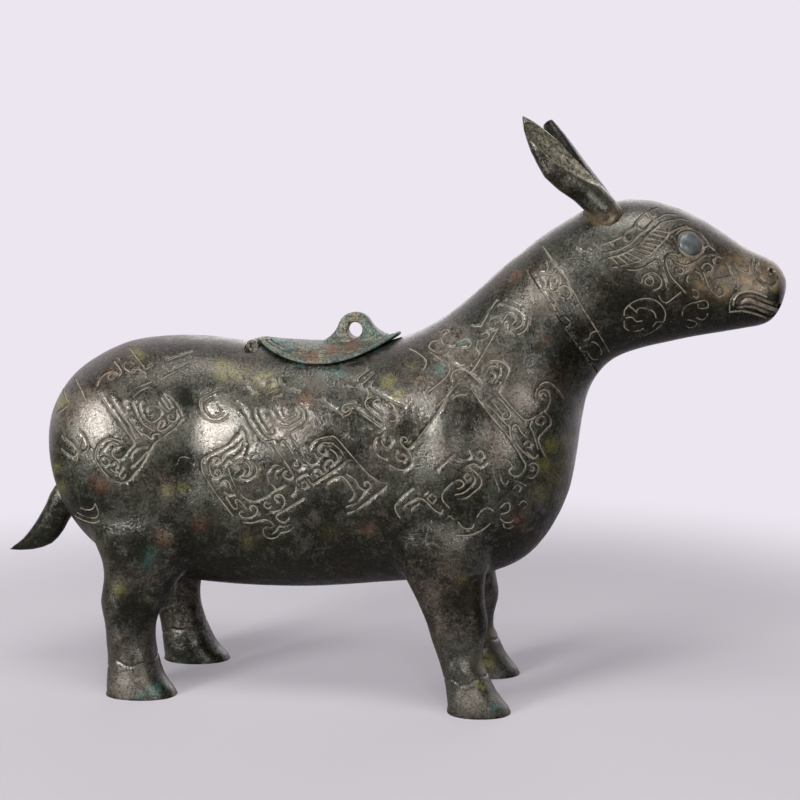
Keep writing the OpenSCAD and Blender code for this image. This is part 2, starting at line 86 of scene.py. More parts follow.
# Cast skin
SKIN_NODES = (
    "body_shell", "head_shell",
    "right_fore_leg", "left_fore_leg", "right_hind_leg", "left_hind_leg",
)
LEG_NODES = SKIN_NODES[2:]
SKIN_VOXEL = 1.15 * MM
SKIN_SMOOTHING = 26
SMOOTHING_FACTOR = 0.5
SOLE_SMOOTHING = 0.1
LEG_SMOOTHING = 0.35
BELLY_BLEND = 12 * MM
LEG_CUT_BELOW = 1.2 * MM
LEG_OVERLAP = 5.0 * MM
LEG_TUCK = 0.2 * MM
LEG_MARGIN = Vector((8, 8, 5)) * MM
CAST_WALL = 3.0 * MM
HOLLOW_VOXEL = 3 * MM
HOLLOW_SMOOTHING = 8
HOLLOW_FLOOR = Vector((0, 0, 46 * MM))
HOLLOW_FRONT = Vector((44 * MM, 0, 0))
WIDTH_HELD_FROM = 29 * MM
WIDTH_MARGIN = 0.1 * MM
SHARP_EDGE = math.radians(40)
ROUND_SIDES = 64
OVAL_SIDES = 128

# Hooves
HOOF_TOP = 13.5 * MM
HOOF_BAND = 2 * MM
HOOF_LINE = (0.7 * MM, 0.28 * MM)
HOOF_RING_STEPS = 72
HOOF_TILT = 0.1
# Ripples of the line round a hoof: size, count in a turn, and a shift by the hoof's place
HOOF_RIPPLES = ((0.1, 3, 900), (0.08, 5, 0))
SOLE_RIM = 1.8 * MM
SOLE_SPREAD = 1.03
TOE_PULL = 2.2 * MM
TOE_HEIGHT = 9 * MM
TOE_CURVE = 3

# Joint of the head, on the line of the collar
COLLAR_TOP = Vector((0.05452, 0.0, 0.1675))
COLLAR_BOTTOM = Vector((0.08402, 0.0, 0.1240))

# Lid, mouth and hinge
HINGE_AXIS = Vector(frame["joints"][0]["pos_m"])
LID_LENGTH = 54.0 * MM
LID_WIDTH = 38.0 * MM
LID_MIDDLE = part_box("lid")[1].x - LID_LENGTH / 2
LID_GAP = 0.3 * MM
LID_PLATE = 1.9 * MM
LID_OVERLAP = 4.5 * MM
LID_SIDES = 160
LID_INNER_RINGS = 9
LID_HEART = 0.06
LID_LIP_MM = 2.5
# Rim of the lid, from its underside to its top: inset from the edge and height in millimetres
LID_RIM = (
    (1.2, 0.5), (0.3, 0.8), (0.0, 1.15), (0.0, 1.5), (0.2, 1.85), (0.6, 2.05), (1.1, 2.1), (1.6, 1.9),
    (1.9, 1.15), (2.3, 1.15), (2.6, 1.75), (3.1, 1.95), (3.6, 1.85), (3.9, 1.15), (4.3, 1.15), (4.6, 1.8),
    (5.4, 1.9),
)
# Height below which the lid is painted dark as shade: the underside and the lines round the rim
LID_SHADE_BELOW_MM = 1.2
FLANGE_GAP = 0.9 * MM
FLANGE_WALL = 1.8 * MM
FLANGE_DEPTH_MM = 4.0
FLANGE_CHAMFER_MM = (0.3, 0.4)
MOUTH_BOTTOM = HOLLOW_FLOOR.z + 50 * MM
MOUTH_TOP = HINGE_AXIS.z + 20 * MM
SEAT_ROOM = 0.05 * MM
SEAT_HEIGHT = 10 * MM
NOTCH_RADIUS = 2.9 * MM
NOTCH_REACH = 13 * MM
NOTCH_TURN = (math.pi / 2, 0, 0)
PLUG_MARGIN = Vector((0.5, 0.5, 0)) * MM
PLUG_SINK = 0.4 * MM
LOOP_VOXEL = 0.35 * MM
LOOP_SMOOTHING = 14
LOOP_FILLET = 6.5 * MM
LOOP_SPREAD = 2.0
LOOP_FLOW = 2.3
# Grid of heights on the back, in half-sizes of the lid, and the mouth and hinge that it leaves out
BACK_REACH = (1.25, 1.3)
BACK_STEPS = 41
BACK_MOUTH = 0.9
BACK_HINGE = (0.9, 0.7)

# Eyes
EYE_RADIUS = 4.2 * MM
EYE_DOME = 1.6 * MM
EYE_SEAT = 1.8 * MM
EYE_SEGMENTS = 48
EYE_ROWS = 24
EYE_LUMP = 3.5 * MM
EYE_UNEVEN = 0.12 * MM
EYE_PLUG_MARGIN = 0.3 * MM
EYE_PLUG_SINK = 1 * MM
EYE_RING = 4.75 * MM
EYE_RING_LINE = (0.55 * MM, 0.8 * MM)
EYE_RING_STEPS = 80
EYE_CLEAR = 5 * MM
EYE_AXIS = Vector((0.3676, -0.8542, 0.3678))

# Ears: each bowl faces forwards and to its side, with half-sizes across, deep and along
EAR_VOXEL = 0.5 * MM
EAR_SMOOTHING = 5
EAR_LENGTH = 50 * MM
BOWL_FACING = (0.66, 0.75)
BOWL_SIZE = Vector((4.6, 5.0, 18)) * MM
BOWL_SHIFT = 8.0 * MM
BOWL_OFFSET = 4.4 * MM
BOWL_TILT = 0.2
BOWL_SEGMENTS = 64
BOWL_ROWS = 48
BOWL_SMOOTHING = 2
BOWL_EDGE = 1.2
BOWL_SKIN = 0.25 * MM
# Width of an ear's rear half as a share of the plain leaf, by the height above its foot
EAR_WAIST = (
    (0 * MM, 0.85), (5 * MM, 0.72), (10 * MM, 0.65), (16 * MM, 0.76), (22 * MM, 1.0), (29 * MM, 1.15),
    (37 * MM, 1.04), (50 * MM, 1.0),
)
# Pits of an ear, painted like the grooves: painted shade round a pale fill
EAR_PITS = ((566, 159, 1.6), (568, 162, 1.8), (573, 165, 1.2), (591, 176, 1.4), (535, 131, 1.2))

# Rough solder at the foot of an ear
SOLDER_REACH = 4.0 * MM
SOLDER_HEIGHT = 0.8 * MM
SOLDER_LUMP = 2.2 * MM
SOLDER_EVEN = 0.8
SOLDER_UNEVEN = 0.6
SOLDER_EDGE = 1.3
SOLDER_MOST = 0.5

# Tail
TAIL_VOXEL = 0.55 * MM
TAIL_SMOOTHING = 10

# Nostrils: a pit with a raised rim, whose reaches are shares of its radius
NOSTRIL_RADIUS = 1.0 * MM
NOSTRIL_DEPTH = 1.7 * MM
NOSTRIL_RIM = 0.2 * MM
NOSTRIL_LINE = (0.5 * MM, 0.8 * MM)
PIT_REACH = 2.2
PIT_CUTS = 2
PIT_CURVE = 3
PIT_RIM_AT = 1.35
PIT_RIM_SPREAD = 0.3
PIT_SHADE = 1.2

# Engraving
LINE_HALF_WIDTH = 0.38 * MM
LINE_DEPTH = 0.36 * MM
LINE_STEP = 0.7
LINE_CUTS = 2
LINE_REACH = 0.7 * MM
LINE_MARK = 1.6
SNAP = 0.2 * MM
MOST_TRIANGLES = 190_000

# Spread of the painted shade and the patches: less painted shade on the far side, painted shade on
# undersides, patches where the body faces the camera
FAR_SIDE_SHARE = 0.35
SIDE_BLEND = 3 * MM
UNDERSIDE_SHADE_START = 0.1
UNDERSIDE_SHADE_GAIN = 1.6
FACING_GAIN = 3
# Least painted shade on the pieces of the far side
FAR_PAINTED_SHADE = {"left_ear": 1.0, "left_hind_leg": 0.6, "left_fore_leg": 0.4}

MOULDING_STEP = 3
# Swells and hollows of the cast form: a line in pixels of the photograph, its reach in pixels and its height
MOULDING = (
    (((196, 410), (189, 440), (182, 475)), 27, -1.5 * MM),
    (((95, 400), (110, 450)), 30, 0.8 * MM),
    (((240, 425), (262, 455)), 34, 1.0 * MM),
    (((412, 425), (408, 455), (404, 485)), 23, -1.1 * MM),
    (((452, 440), (447, 478)), 18, 0.6 * MM),
    (((470, 395), (464, 430), (466, 475)), 16, -0.9 * MM),
    (((500, 436), (516, 470)), 17, 1.1 * MM),
    (((520, 392), (538, 405)), 14, 0.8 * MM),
    (((485, 565), (479, 600), (482, 630), (476, 655)), 8, 0.7 * MM),
    (((466, 585), (463, 620), (464, 655)), 8, -0.7 * MM),
    (((455, 672), (480, 676)), 7, 0.5 * MM),
    (((150, 555), (143, 600), (141, 645)), 10, -0.7 * MM),
    (((120, 560), (112, 595), (114, 640)), 10, 0.7 * MM),
    (((760, 262), (776, 262)), 8, 0.6 * MM),
)

# Engraved lines, as pixels of the photograph
RUMP_LINES = (
    ((98, 393), (112, 413), (128, 433.5), (134, 443), (129, 450), (122, 458.5), (116, 459), (112, 454),
     (113, 449), (118, 447)),
    ((120, 441), (110, 438.5), (101, 442), (96, 450), (95, 458), (99, 466), (106, 475), (114, 481),
     (121, 482.5), (129, 480), (135, 473), (143, 463), (152, 446), (158, 440), (174, 429), (182, 419)),
    ((182, 416), (177, 406), (171, 398), (164, 393)),
    ((118, 444), (112, 442.5), (106, 446), (100, 454)),
    ((110, 396), (114, 404), (128, 425), (135, 437)),
    ((129, 419), (142, 436)),
    ((126, 409), (123, 403), (126, 397), (134, 389), (143, 385), (151, 382)),
    ((133, 397), (140, 391), (148, 387)),
    ((139, 404), (140, 410), (143, 417), (148, 421), (153, 422), (158, 419), (161, 414), (160, 409),
     (156, 406), (150, 406), (146, 410), (148, 415), (153, 415)),
    ((132, 403), (136, 413), (142, 423), (152, 430)),
    ((176, 410), (177, 416), (175, 421), (170, 421), (167, 417), (170, 414), (173, 417)),
    ((170, 425), (166, 429), (160, 431), (157, 428), (159, 422), (164, 421), (162, 427)),
    ((161, 398), (165, 404), (169, 409), (171, 406), (164, 394)),
    ((158, 402), (161, 407), (167, 411)),
    ((141, 433), (147, 436), (151, 439), (153, 435), (158, 434), (162, 437)),
    ((104, 457), (109, 461), (106, 466), (101, 463), (101, 459), (104, 457)),
    ((112, 464), (115, 462), (118, 466), (115, 469), (118, 473), (114, 472), (110, 469)),
    ((123, 466), (121, 471), (119, 476), (122, 478), (125, 474)),
    ((130, 458), (133, 452), (140, 447), (147, 447)),
    ((131, 467), (137, 462), (147, 452)),
    ((97, 386), (100, 379), (106, 373.5), (113, 371.5), (118, 374)),
    ((116, 375), (112, 373), (108, 376), (110, 380), (114, 378)),
    ((114, 361), (121, 371), (119, 376)),
    ((117, 357), (121, 362)),
    ((124, 368), (125, 364), (130, 362), (134, 364)),
    ((124, 368), (128, 371), (133, 373), (137, 369), (142, 371), (146, 374)),
    ((129, 347), (136, 357), (144, 367)),
    ((146, 369), (153, 365)),
    ((168, 360), (176, 357), (193, 351)),
    ((163, 378), (170, 374), (188, 365)),
    ((75, 378), (79, 386), (83, 394), (86, 403)),
    ((63, 389), (66, 398), (69, 403)),
    ((57, 413), (62, 410), (67, 406)),
    ((79, 430), (84, 436), (87, 442), (88, 447), (86, 451), (82, 453)),
    ((63, 436), (69, 441), (75, 446), (77, 450)),
    ((62, 449), (68, 454), (74, 457), (77, 453)),
    ((82, 438), (79, 446), (77, 460)),
    ((80, 508), (86, 510), (92, 509), (95, 504)),
    ((77, 513), (85, 517), (94, 518), (98, 514), (96, 506)),
    ((74, 516), (84, 521), (93, 523), (99, 521)),
    ((176, 464), (178, 459), (184, 457), (190, 459), (193, 464)),
)
FLANK_LINES = (
    ((222, 388.5), (211, 393), (201, 398.5), (199.5, 403), (201, 411), (205, 417.5), (211, 421),
     (218, 421.5), (224, 419), (229, 414)),
    ((214, 397), (208, 401), (205, 405), (206, 410), (210, 415), (215, 417), (220, 415.5), (224, 413)),
    ((220, 407), (221, 411), (219, 413), (216, 413)),
    ((236, 402), (241, 406), (246, 416), (258, 435), (262, 440), (267, 442), (272, 441)),
    ((254, 410), (255, 417), (264, 432), (269, 436), (274, 434.5), (276, 430.5), (273, 427.5),
     (270.5, 429.5), (271.5, 432)),
    ((258, 409), (261, 416), (269, 428)),
    ((300, 404), (306, 410), (308, 418), (304, 425), (297, 429), (291, 433), (293, 440), (298, 447)),
    ((270, 412), (274, 420), (280, 425), (287, 426.5), (295, 423), (302, 418), (302, 411), (297, 406)),
    ((275, 406), (279, 415), (283, 420), (289, 421), (295, 418.5), (298, 414), (295, 410)),
    ((283, 409), (285, 415), (290, 417), (294, 415)),
    ((263, 378), (267, 382), (266, 388), (261, 393), (255, 392), (252, 386)),
    ((245, 380), (251, 382)),
    ((275, 378), (277, 384), (280, 387), (273, 391), (266, 394)),
    ((281, 378), (282, 383), (285.5, 385)),
    ((290, 388), (301, 391)),
    ((272, 401), (273, 397), (277, 396), (282, 396)),
    ((242, 427), (239, 433), (232, 441), (224, 447), (207, 456), (202, 460), (201.5, 467), (204, 475),
     (216, 494), (233, 516)),
    ((242, 427), (246, 432), (248, 439), (250, 446), (247, 452), (246.5, 457)),
    ((242, 440), (237, 446), (229, 451), (223.5, 455), (222, 459)),
    ((243, 440), (243, 448), (240, 454), (235, 457)),
    ((213, 458), (218, 458), (219, 461), (216, 463)),
    ((211, 459), (209, 466), (211, 474), (215.5, 478), (220, 475.5), (220, 471), (216.5, 469.5),
     (214.5, 472), (217, 475)),
    ((228, 468), (230, 475), (235, 486), (242, 496), (250, 501), (259, 500), (276, 490), (285, 485)),
    ((225, 464), (228, 460)),
    ((251, 461), (256, 467), (256, 473), (251, 478), (245, 480), (240, 478)),
    ((245, 462), (249, 467), (249, 472), (246, 476)),
    ((241, 465), (244, 470), (242.5, 475), (239, 477)),
    ((220, 484), (224, 480), (229, 483), (231, 489), (234, 493), (229, 495), (224, 492)),
    ((226, 497), (233, 508), (237, 507), (235, 500.5), (239, 500.5), (246, 508.5)),
    ((242, 510), (239, 514), (243, 517.5), (250, 517.5), (256, 514), (257, 509), (253, 505.5),
     (249.5, 507), (251, 511)),
    ((242, 522), (252, 523), (262, 520), (269, 521), (273, 525), (271, 528), (266, 527), (263, 530),
     (264, 535), (269, 538.5), (276, 537.5), (281, 533), (288, 531.5), (293, 527)),
    ((304, 498), (285, 510), (276, 516), (280, 521.5), (285, 522), (289, 518)),
    ((290, 524), (283, 527), (279, 526.5), (276, 531), (272, 534)),
    ((270, 512), (277, 511), (283, 506.5), (284.5, 500), (281, 495), (275, 495.5), (275, 500),
     (278, 501.5)),
    ((271, 506), (267, 508.5), (264, 505.5), (265, 502), (269, 503)),
    ((281, 466), (275, 465), (270, 468), (267, 473), (268, 480), (273, 486), (276, 490)),
    ((281, 468), (277, 470), (275, 474), (277, 479)),
    ((271, 441), (283, 459), (292.5, 474), (290, 479), (285, 478), (282.5, 474), (285, 471)),
    ((296, 452), (300, 459), (302, 465), (299, 469.5), (295, 469.5), (292.5, 465.5), (295, 462.5),
     (298, 464)),
    ((280, 445), (282, 441), (286, 443), (296, 459)),
    ((300, 448), (303, 455), (307, 462), (312, 465), (317, 461), (316, 456), (313, 453)),
    ((309, 448), (314, 441), (322, 438), (330, 436.5), (336, 438), (350, 454), (367, 473), (375, 479),
     (381, 482.5), (387, 483)),
    ((347, 460), (340, 466), (322, 478.5), (315, 483), (311, 483.5), (308, 479)),
    ((387, 486), (378, 493), (357, 509.5), (347, 513.5)),
    ((346, 507), (356, 503), (361, 497.5), (365, 491)),
    ((365, 491), (359, 487), (355, 480), (346, 474)),
    ((365, 486), (364, 483), (367, 481.5), (370, 484.5), (369, 488.5), (365, 491)),
    ((327, 483), (334, 478.5), (341, 476.5), (346, 480), (351, 487), (354, 493), (352, 498.5),
     (348, 501)),
    ((330, 443), (323, 443), (318, 447), (318.5, 451), (322, 454.5), (326, 452.5), (325, 449)),
    ((332, 443), (340, 450), (345, 458)),
    ((330, 449), (336, 454), (338, 460), (335, 463)),
    ((326, 471), (324, 466), (326, 461.5), (331, 460), (333, 464), (330, 467)),
    ((317, 475.5), (313, 474), (314, 470), (319, 469.5), (322, 474)),
    ((307, 473.5), (300, 476.5), (296, 480), (297, 484)),
    ((301, 488), (305, 488.5), (307, 484.5), (304, 481), (300, 483), (302, 486)),
    ((296, 487), (295, 492), (291, 496)),
    ((322, 398), (327, 404), (342, 415)),
    ((355, 404), (348, 403.5), (343, 406), (342, 410), (346, 412), (349, 409), (347, 407)),
    ((351, 408), (350, 413), (345, 416)),
    ((345, 386), (353, 387)),
    ((361, 383), (363, 388), (368, 392), (367, 398)),
    ((358, 381), (358, 378), (369, 369)),
    ((363, 383), (374, 373)),
    ((376, 377), (371, 384), (374, 390), (391, 400.5), (404, 407)),
    ((373, 396), (367, 399), (365, 404), (369, 410), (382, 421)),
    ((377, 399), (373, 403), (376, 408), (383, 413)),
    ((393, 413), (397, 417), (394, 421), (390, 421)),
    ((354, 406), (362, 414), (381, 428)),
    ((382, 435), (376, 438), (373.5, 445), (375, 451), (379, 456.5), (385, 459)),
    ((381, 440), (383, 445), (387, 447), (391.5, 443), (390, 436)),
)
SHOULDER_LINES = (
    ((498, 300), (493, 305), (481, 326)),
    ((471, 325.5), (481, 326.5)),
    ((470, 372), (475, 367), (502, 322), (508, 314), (513, 315.5), (515.5, 320), (512.5, 324)),
    ((497, 306), (503, 305.5), (511, 309), (519, 313.5), (522.5, 319), (521.5, 325), (516, 328.5),
     (510, 329)),
    ((528.5, 320), (527, 327), (523, 332), (517.5, 334.5)),
    ((504, 323), (506, 329), (511, 334)),
    ((505, 300), (512, 303), (520, 307)),
    ((501, 321), (496, 317.5), (491, 319), (489, 323), (492.5, 325.5), (496, 323)),
    ((489, 329), (494, 330.5), (498, 328)),
    ((481, 340), (486, 338.5), (489, 335), (486, 332), (483, 334)),
    ((478, 341), (476, 348), (479, 354), (474, 361)),
    ((440, 331), (445, 328), (449, 331)),
    ((446, 332), (442, 336), (442, 342), (447, 346), (455, 347)),
    ((460, 341), (467, 339), (471, 343), (468, 347.5), (461, 348)),
    ((437, 340), (431, 342), (429, 347), (434, 351), (441, 353), (446, 349)),
    ((430, 352), (444, 362), (449, 367), (449, 372), (443, 380), (429, 391)),
    ((447, 353), (450, 358), (455, 364), (463, 368), (470, 366)),
    ((409, 348), (418, 353), (425, 359), (426, 364), (423, 370)),
    ((451, 382), (451, 376), (454, 371), (461, 369), (468, 371.5), (480, 383)),
    ((455, 385), (458, 381), (461, 379)),
    ((481, 373), (483, 366), (489, 361), (498, 360.5), (505, 364), (508.5, 370), (507, 376), (499.5, 390),
     (501, 395), (521, 417), (527, 420), (533, 418), (547, 409)),
    ((486, 372), (489, 367), (495, 366), (499.5, 370), (499, 376), (495, 383)),
    ((490, 372), (494, 374), (494, 379), (491, 382)),
    ((479, 401), (491, 408), (505, 423), (509, 426)),
    ((486, 393), (493, 395), (500, 399.5), (506, 406), (510.5, 413), (509, 418), (504.5, 419),
     (502, 415.5),
     (504.5, 413)),
    ((491, 400), (502, 414)),
    ((473, 392), (490, 415), (508, 436), (523, 460), (525.5, 466), (522, 472.5), (516, 476.5),
     (510.5, 474),
     (509, 470), (512, 466.5), (508, 460.5), (503, 458.5)),
    ((509, 425), (511, 437), (518, 446), (527, 455), (534, 459)),
    ((456, 384), (447, 396), (438, 412), (419, 437), (409, 448.5), (403, 446), (400, 441), (402, 437),
     (406, 438), (407, 441.5), (404.5, 442)),
    ((450, 392), (437, 406)),
    ((452, 399), (458, 395), (465, 394.5), (470, 397)),
    ((408, 450), (411.5, 458), (410, 465), (404, 470), (397, 469), (389, 465)),
    ((396, 450), (396, 457), (400, 461), (405, 460.5), (405.5, 456), (402, 453.5)),
    ((536, 401), (535, 394), (538, 387), (544, 382.5), (550, 383), (557, 389), (565, 398)),
    ((539, 399), (539, 392), (544, 389.5), (549, 393), (550, 400), (547, 409)),
    ((542, 400), (540, 396), (543, 393), (546, 396)),
    ((545, 412), (550, 418), (551, 424), (544, 431), (539, 437), (539, 443), (545.5, 457)),
    ((546, 422), (543, 416.5), (537, 418), (536, 423), (541, 425), (544, 421)),
    ((532, 421), (530, 426), (533, 433), (538, 449)),
    ((512, 430), (514, 425), (518, 426), (521, 432), (525, 436)),
    ((524, 444), (527, 441), (531, 443), (530, 447), (526, 447)),
    ((527, 452), (531, 456), (535, 458), (538, 455)),
    ((529, 465), (533, 463), (538, 466), (538, 472), (533, 478), (527, 477.5)),
    ((530, 470), (533, 471), (534, 468), (531, 467)),
    ((437, 470), (454, 454), (459, 459), (466, 460), (471, 456), (469, 450)),
    ((476, 457), (480, 460), (484, 456), (481, 451), (477, 452)),
    ((466, 466), (474, 464), (480, 467), (487, 462)),
    ((469, 467), (476, 473), (481, 479), (480.5, 486), (474, 492), (466, 498), (457, 499)),
    ((472, 473), (475, 480), (470, 487.5), (463, 493), (455, 495)),
    ((457, 489), (462, 487), (463.5, 483), (459, 480), (453, 482), (447, 488), (442, 494), (443, 501),
     (449, 508)),
    ((463.5, 477), (467, 473.5), (470.5, 477), (467, 480.5), (463.5, 477)),
    ((427, 498.5), (431.5, 494), (436, 498.5), (431.5, 503), (427, 498.5)),
    ((424, 495), (428, 492)),
    ((413, 488), (406, 493), (399, 500), (395, 506), (396, 512), (400, 518)),
    ((404, 506), (411, 501.5), (419, 498), (426, 502), (433, 509), (440, 513.5), (443, 510)),
    ((411, 515), (412, 509), (419, 503.5)),
    ((492, 467), (494, 476), (499, 490)),
    ((499, 473), (502, 482), (506, 484.5), (508, 481)),
    ((514, 481), (521, 483), (526, 486)),
    ((513, 489), (517, 485), (521, 488), (519, 492)),
    ((500, 508), (506, 503), (510, 505), (508, 512), (501, 514)),
    ((477, 517), (481, 511), (488, 508), (493, 511)),
    ((445, 519), (449, 516), (453, 519)),
    ((519, 505), (523, 501), (527, 504), (524, 509)),
    ((456, 535), (461, 535.5), (467, 535.5), (475, 533.5), (483, 529.5), (490, 524)),
    ((458, 522), (462, 527), (467, 529), (472, 528), (474, 524)),
    ((503, 524), (505, 528), (510, 528.5), (514, 526)),
    ((500, 519), (505, 522.5), (511, 522.5), (514, 519)),
)
HEAD_LINES = (
    ((600.5, 245), (610, 242), (615, 240), (622, 236.5), (625.5, 233), (634, 226), (636, 222),
     (640.5, 217.5),
     (646, 212.5), (651.5, 210), (657, 207.5)),
    ((603, 253.5), (610, 252), (616.5, 250.5), (622, 248.5), (631, 243), (636, 238), (646, 228.5),
     (655, 220),
     (659.5, 217.5), (666.5, 214), (676.5, 214.5)),
    ((610, 242), (612, 246)),
    ((622.5, 236.5), (624, 239.5), (628, 242)),
    ((636, 222.5), (636.5, 226), (640, 229), (643, 229.5)),
    ((646, 212.5), (649, 216.5), (654, 219)),
    ((601, 261), (610, 257.5), (616.5, 256), (623.5, 253.5), (630, 250), (636.5, 246.5), (642, 242.5),
     (646, 237.5), (650, 232.5), (656.5, 227.5), (662, 222.5), (672.5, 220), (681, 218.5), (687, 220)),
    ((603.5, 261.5), (606, 264.5), (610, 267.5), (616.5, 267), (630, 264), (641, 260.5)),
    ((626, 269.5), (631.5, 270), (637, 270), (643.5, 268), (654, 261.5), (658, 260.5), (660, 264)),
    ((643.5, 255.5), (648.5, 255.5), (652.5, 252.5), (660.5, 244), (667.5, 235.5), (670, 232),
     (675.5, 229.5),
     (681, 227.5), (686, 226.5), (691.5, 228.5)),
    ((671.5, 236), (674.5, 238.5), (676.5, 243.5), (679.5, 248.5), (683.5, 252), (688.5, 254.5),
     (694, 253.5),
     (699.5, 250.5), (707.5, 245.5)),
    ((676, 233.5), (680.5, 230), (686, 228.5), (692.5, 229.5), (699.5, 232.5), (704.5, 238), (710, 246),
     (714.5, 250)),
    ((686, 293.5), (679.5, 286), (672, 278), (668.5, 271.5), (666.5, 264.5), (666, 260), (668.5, 256.5),
     (672, 257.5), (675.5, 262), (681, 264.5), (686, 265.5), (692.5, 263.5), (698, 260), (703.5, 256),
     (708.5, 254.5), (715.5, 255.5), (722, 258)),
    ((665.5, 258), (668.5, 254.5), (674, 254), (679, 256)),
    ((651, 279.5), (648, 277.5), (645, 280), (646, 284), (650, 285.5), (653, 282.5), (652.5, 278),
     (648.5, 275)),
    ((642, 282), (642.5, 277.5), (646.5, 274), (652.5, 272.5), (658, 275.5), (661.5, 280.5), (660.5, 286),
     (656.5, 289.5), (652.5, 290.5)),
    ((659.5, 267.5), (661.5, 271.5), (663.5, 276.5), (666.5, 286)),
    ((662.5, 266), (664.5, 272.5), (667.5, 282)),
    ((658.5, 295.5), (660.5, 299.5), (664, 302.5), (667.5, 302.5), (671.5, 299.5), (680.5, 292.5)),
    ((624, 315.5), (624.5, 310.5), (628, 306), (632.5, 302.5), (639.5, 299.5), (646, 298.5), (654, 300),
     (659.5, 303.5), (663.5, 308.5), (665.5, 314), (664.5, 319.5), (662, 324.5), (656.5, 329.5), (650, 333.5),
     (643.5, 336.5)),
    ((630, 306.5), (633.5, 309.5), (637, 313)),
    ((636, 312), (640, 308), (648.5, 309.5), (654, 312.5), (656, 318)),
    ((626, 318), (631.5, 317.5), (636.5, 321.5), (642, 321)),
    ((624, 321.5), (624.5, 327.5), (629, 331)),
    ((652.5, 327.5), (656.5, 322.5), (662.5, 322)),
    ((634, 331.5), (640.5, 330.5), (643.5, 328.5)),
    ((682, 315.5), (683.5, 308.5), (688.5, 304.5), (695.5, 302.5), (704.5, 300.5), (708, 303.5),
     (707.5, 307.5),
     (703.5, 308.5), (698.5, 308), (698, 304.5)),
    ((696.5, 318), (702, 320), (706, 318), (707.5, 314)),
    ((688, 320), (694, 321.5), (696.5, 324), (694.5, 327.5), (689.5, 328), (686, 326.5)),
    ((692.5, 289.5), (696.5, 290.5), (698.5, 294.5), (696.5, 298), (693, 296)),
    ((695.5, 271.5), (699.5, 273.5), (702, 278)),
    ((703.5, 272.5), (706, 279.5), (708.5, 286), (712.5, 292), (716.5, 295.5), (720, 296.5),
     (723.5, 292.5),
     (722, 289), (718, 288)),
    ((710.5, 278), (712.5, 282), (715.5, 285.5)),
    ((688.5, 275.5), (686.5, 279.5), (688, 282)),
    ((675.5, 268.5), (676.5, 272.5), (680.5, 274), (683.5, 272), (682, 268.5), (678.5, 268)),
    ((701.5, 267.5), (704.5, 264), (708.5, 263.5), (712, 266.5), (711.5, 270.5), (707.5, 272)),
    ((716.5, 257.5), (713, 260), (714.5, 264)),
    ((726, 262), (728, 266), (730, 271.5), (731.5, 275.5), (734, 278)),
    ((714.5, 275.5), (716.5, 279.5), (723.5, 278), (732.5, 276)),
    ((734, 264), (736.5, 267.5), (740.5, 270), (745.5, 272.5), (749.5, 271.5), (749.5, 267.5)),
)
BROW_TICK_STARTS = ((604, 259.5), (611, 257.5), (617, 256), (622, 254.5), (626.5, 252.5), (631, 250),
                    (635.5, 247.5), (639.5, 244.5), (643, 241.5), (646.5, 237.5), (650, 233), (654, 229.5))
BROW_TICK_ENDS = ((610, 266.5), (619, 265), (627, 263.5), (634, 262), (641, 259.5), (646, 255.5),
                  (651, 252.5), (654.5, 249), (658, 245.5), (661.5, 241), (665, 237), (668.5, 232.5))
COLLAR_REAR = ((527, 268), (533, 279), (541, 289.5), (552, 304.5), (563, 325), (570.5, 335.5), (584, 355),
               (597, 372))
COLLAR_FRONT = ((540, 242.5), (551, 258), (563, 276), (574, 293), (584, 310.5), (590.5, 320.5), (600, 336),
                (610, 353))
COLLAR_SCALES = (
    ((532, 274.5), (535, 277), (539, 274.5), (541, 273), (547, 274), (551.5, 274)),
    ((546.5, 261.5), (548, 267), (546, 272)),
    ((556, 270), (552, 275.5), (549.5, 280), (555, 281)),
    ((541.5, 279), (543.5, 283), (543.5, 288), (541, 289.5)),
    ((548.5, 281), (548.5, 288.5)),
    ((543.5, 288), (549, 289.5), (552, 292), (556, 290.5), (558.5, 288.5), (558.5, 284)),
    ((558.5, 288.5), (563, 285.5), (567, 286.5), (570.5, 291.5), (570.5, 296), (567, 299)),
    ((558, 293), (560, 296.5), (564, 298)),
    ((551.5, 297), (555.5, 302), (554, 305.5)),
    ((576, 306), (578.5, 304)),
    ((560.5, 319), (564, 316.5), (568.5, 320), (570.5, 322), (568.5, 326), (565, 327)),
    ((591.5, 342), (596, 343.5), (600, 348), (602, 353.5), (600.5, 355.5)),
    ((587, 351.5), (589.5, 356), (593, 359.5), (598.5, 360)),
    ((579, 348), (583, 346.5), (587, 346)),
    ((581.5, 352), (587, 351.5)),
    ((583, 340.5), (588.5, 339), (590.5, 334), (595, 331.5), (599, 331.5)),
    ((577, 248), (582, 252), (590, 254.5)),
)
# Mouth, from top to bottom: half-width and depth of each line, where a ridge has a negative depth
MOUTH_LINES = (
    (((729.5, 310.5), (730, 301.5), (732.5, 296), (736, 293)), 0.4 * MM, 0.5 * MM),
    (((733.5, 305), (734.5, 299.5), (738.5, 294.5), (745, 291.8), (751.5, 291.4), (758.5, 293.2),
      (766.5, 297)),
     0.45 * MM, -0.3 * MM),
    (((737.5, 304), (741.5, 297.5), (747, 295.3), (753, 295.8), (760.5, 299), (768, 302.2), (778, 306),
      (786, 308)),
     0.95 * MM, 1.9 * MM),
    (((742, 302.3), (746, 300.6), (751.5, 301), (760.5, 304.3), (769.5, 307.8),
      (777, 310)), 0.8 * MM, -0.5 * MM),
    (((738.5, 308.5), (745, 306.8), (753, 307.7), (762, 311.4), (771, 315),
      (776, 315)), 0.9 * MM, 1.3 * MM),
    (((730, 312), (741.5, 311), (749.5, 312.4), (757.5, 314.5), (766, 317.7)), 0.45 * MM, -0.25 * MM),
)
NOSTRIL_LINES = (
    ((752.5, 260.5), (752.5, 266), (754, 272), (758, 277.5), (763, 283), (767, 285)),
    ((767, 284.5), (771, 285.5), (775, 284), (777.5, 280.5), (777.8, 277)),
    ((757, 263), (756, 268), (759.5, 274)),
)
NOSTRIL = (772, 271)
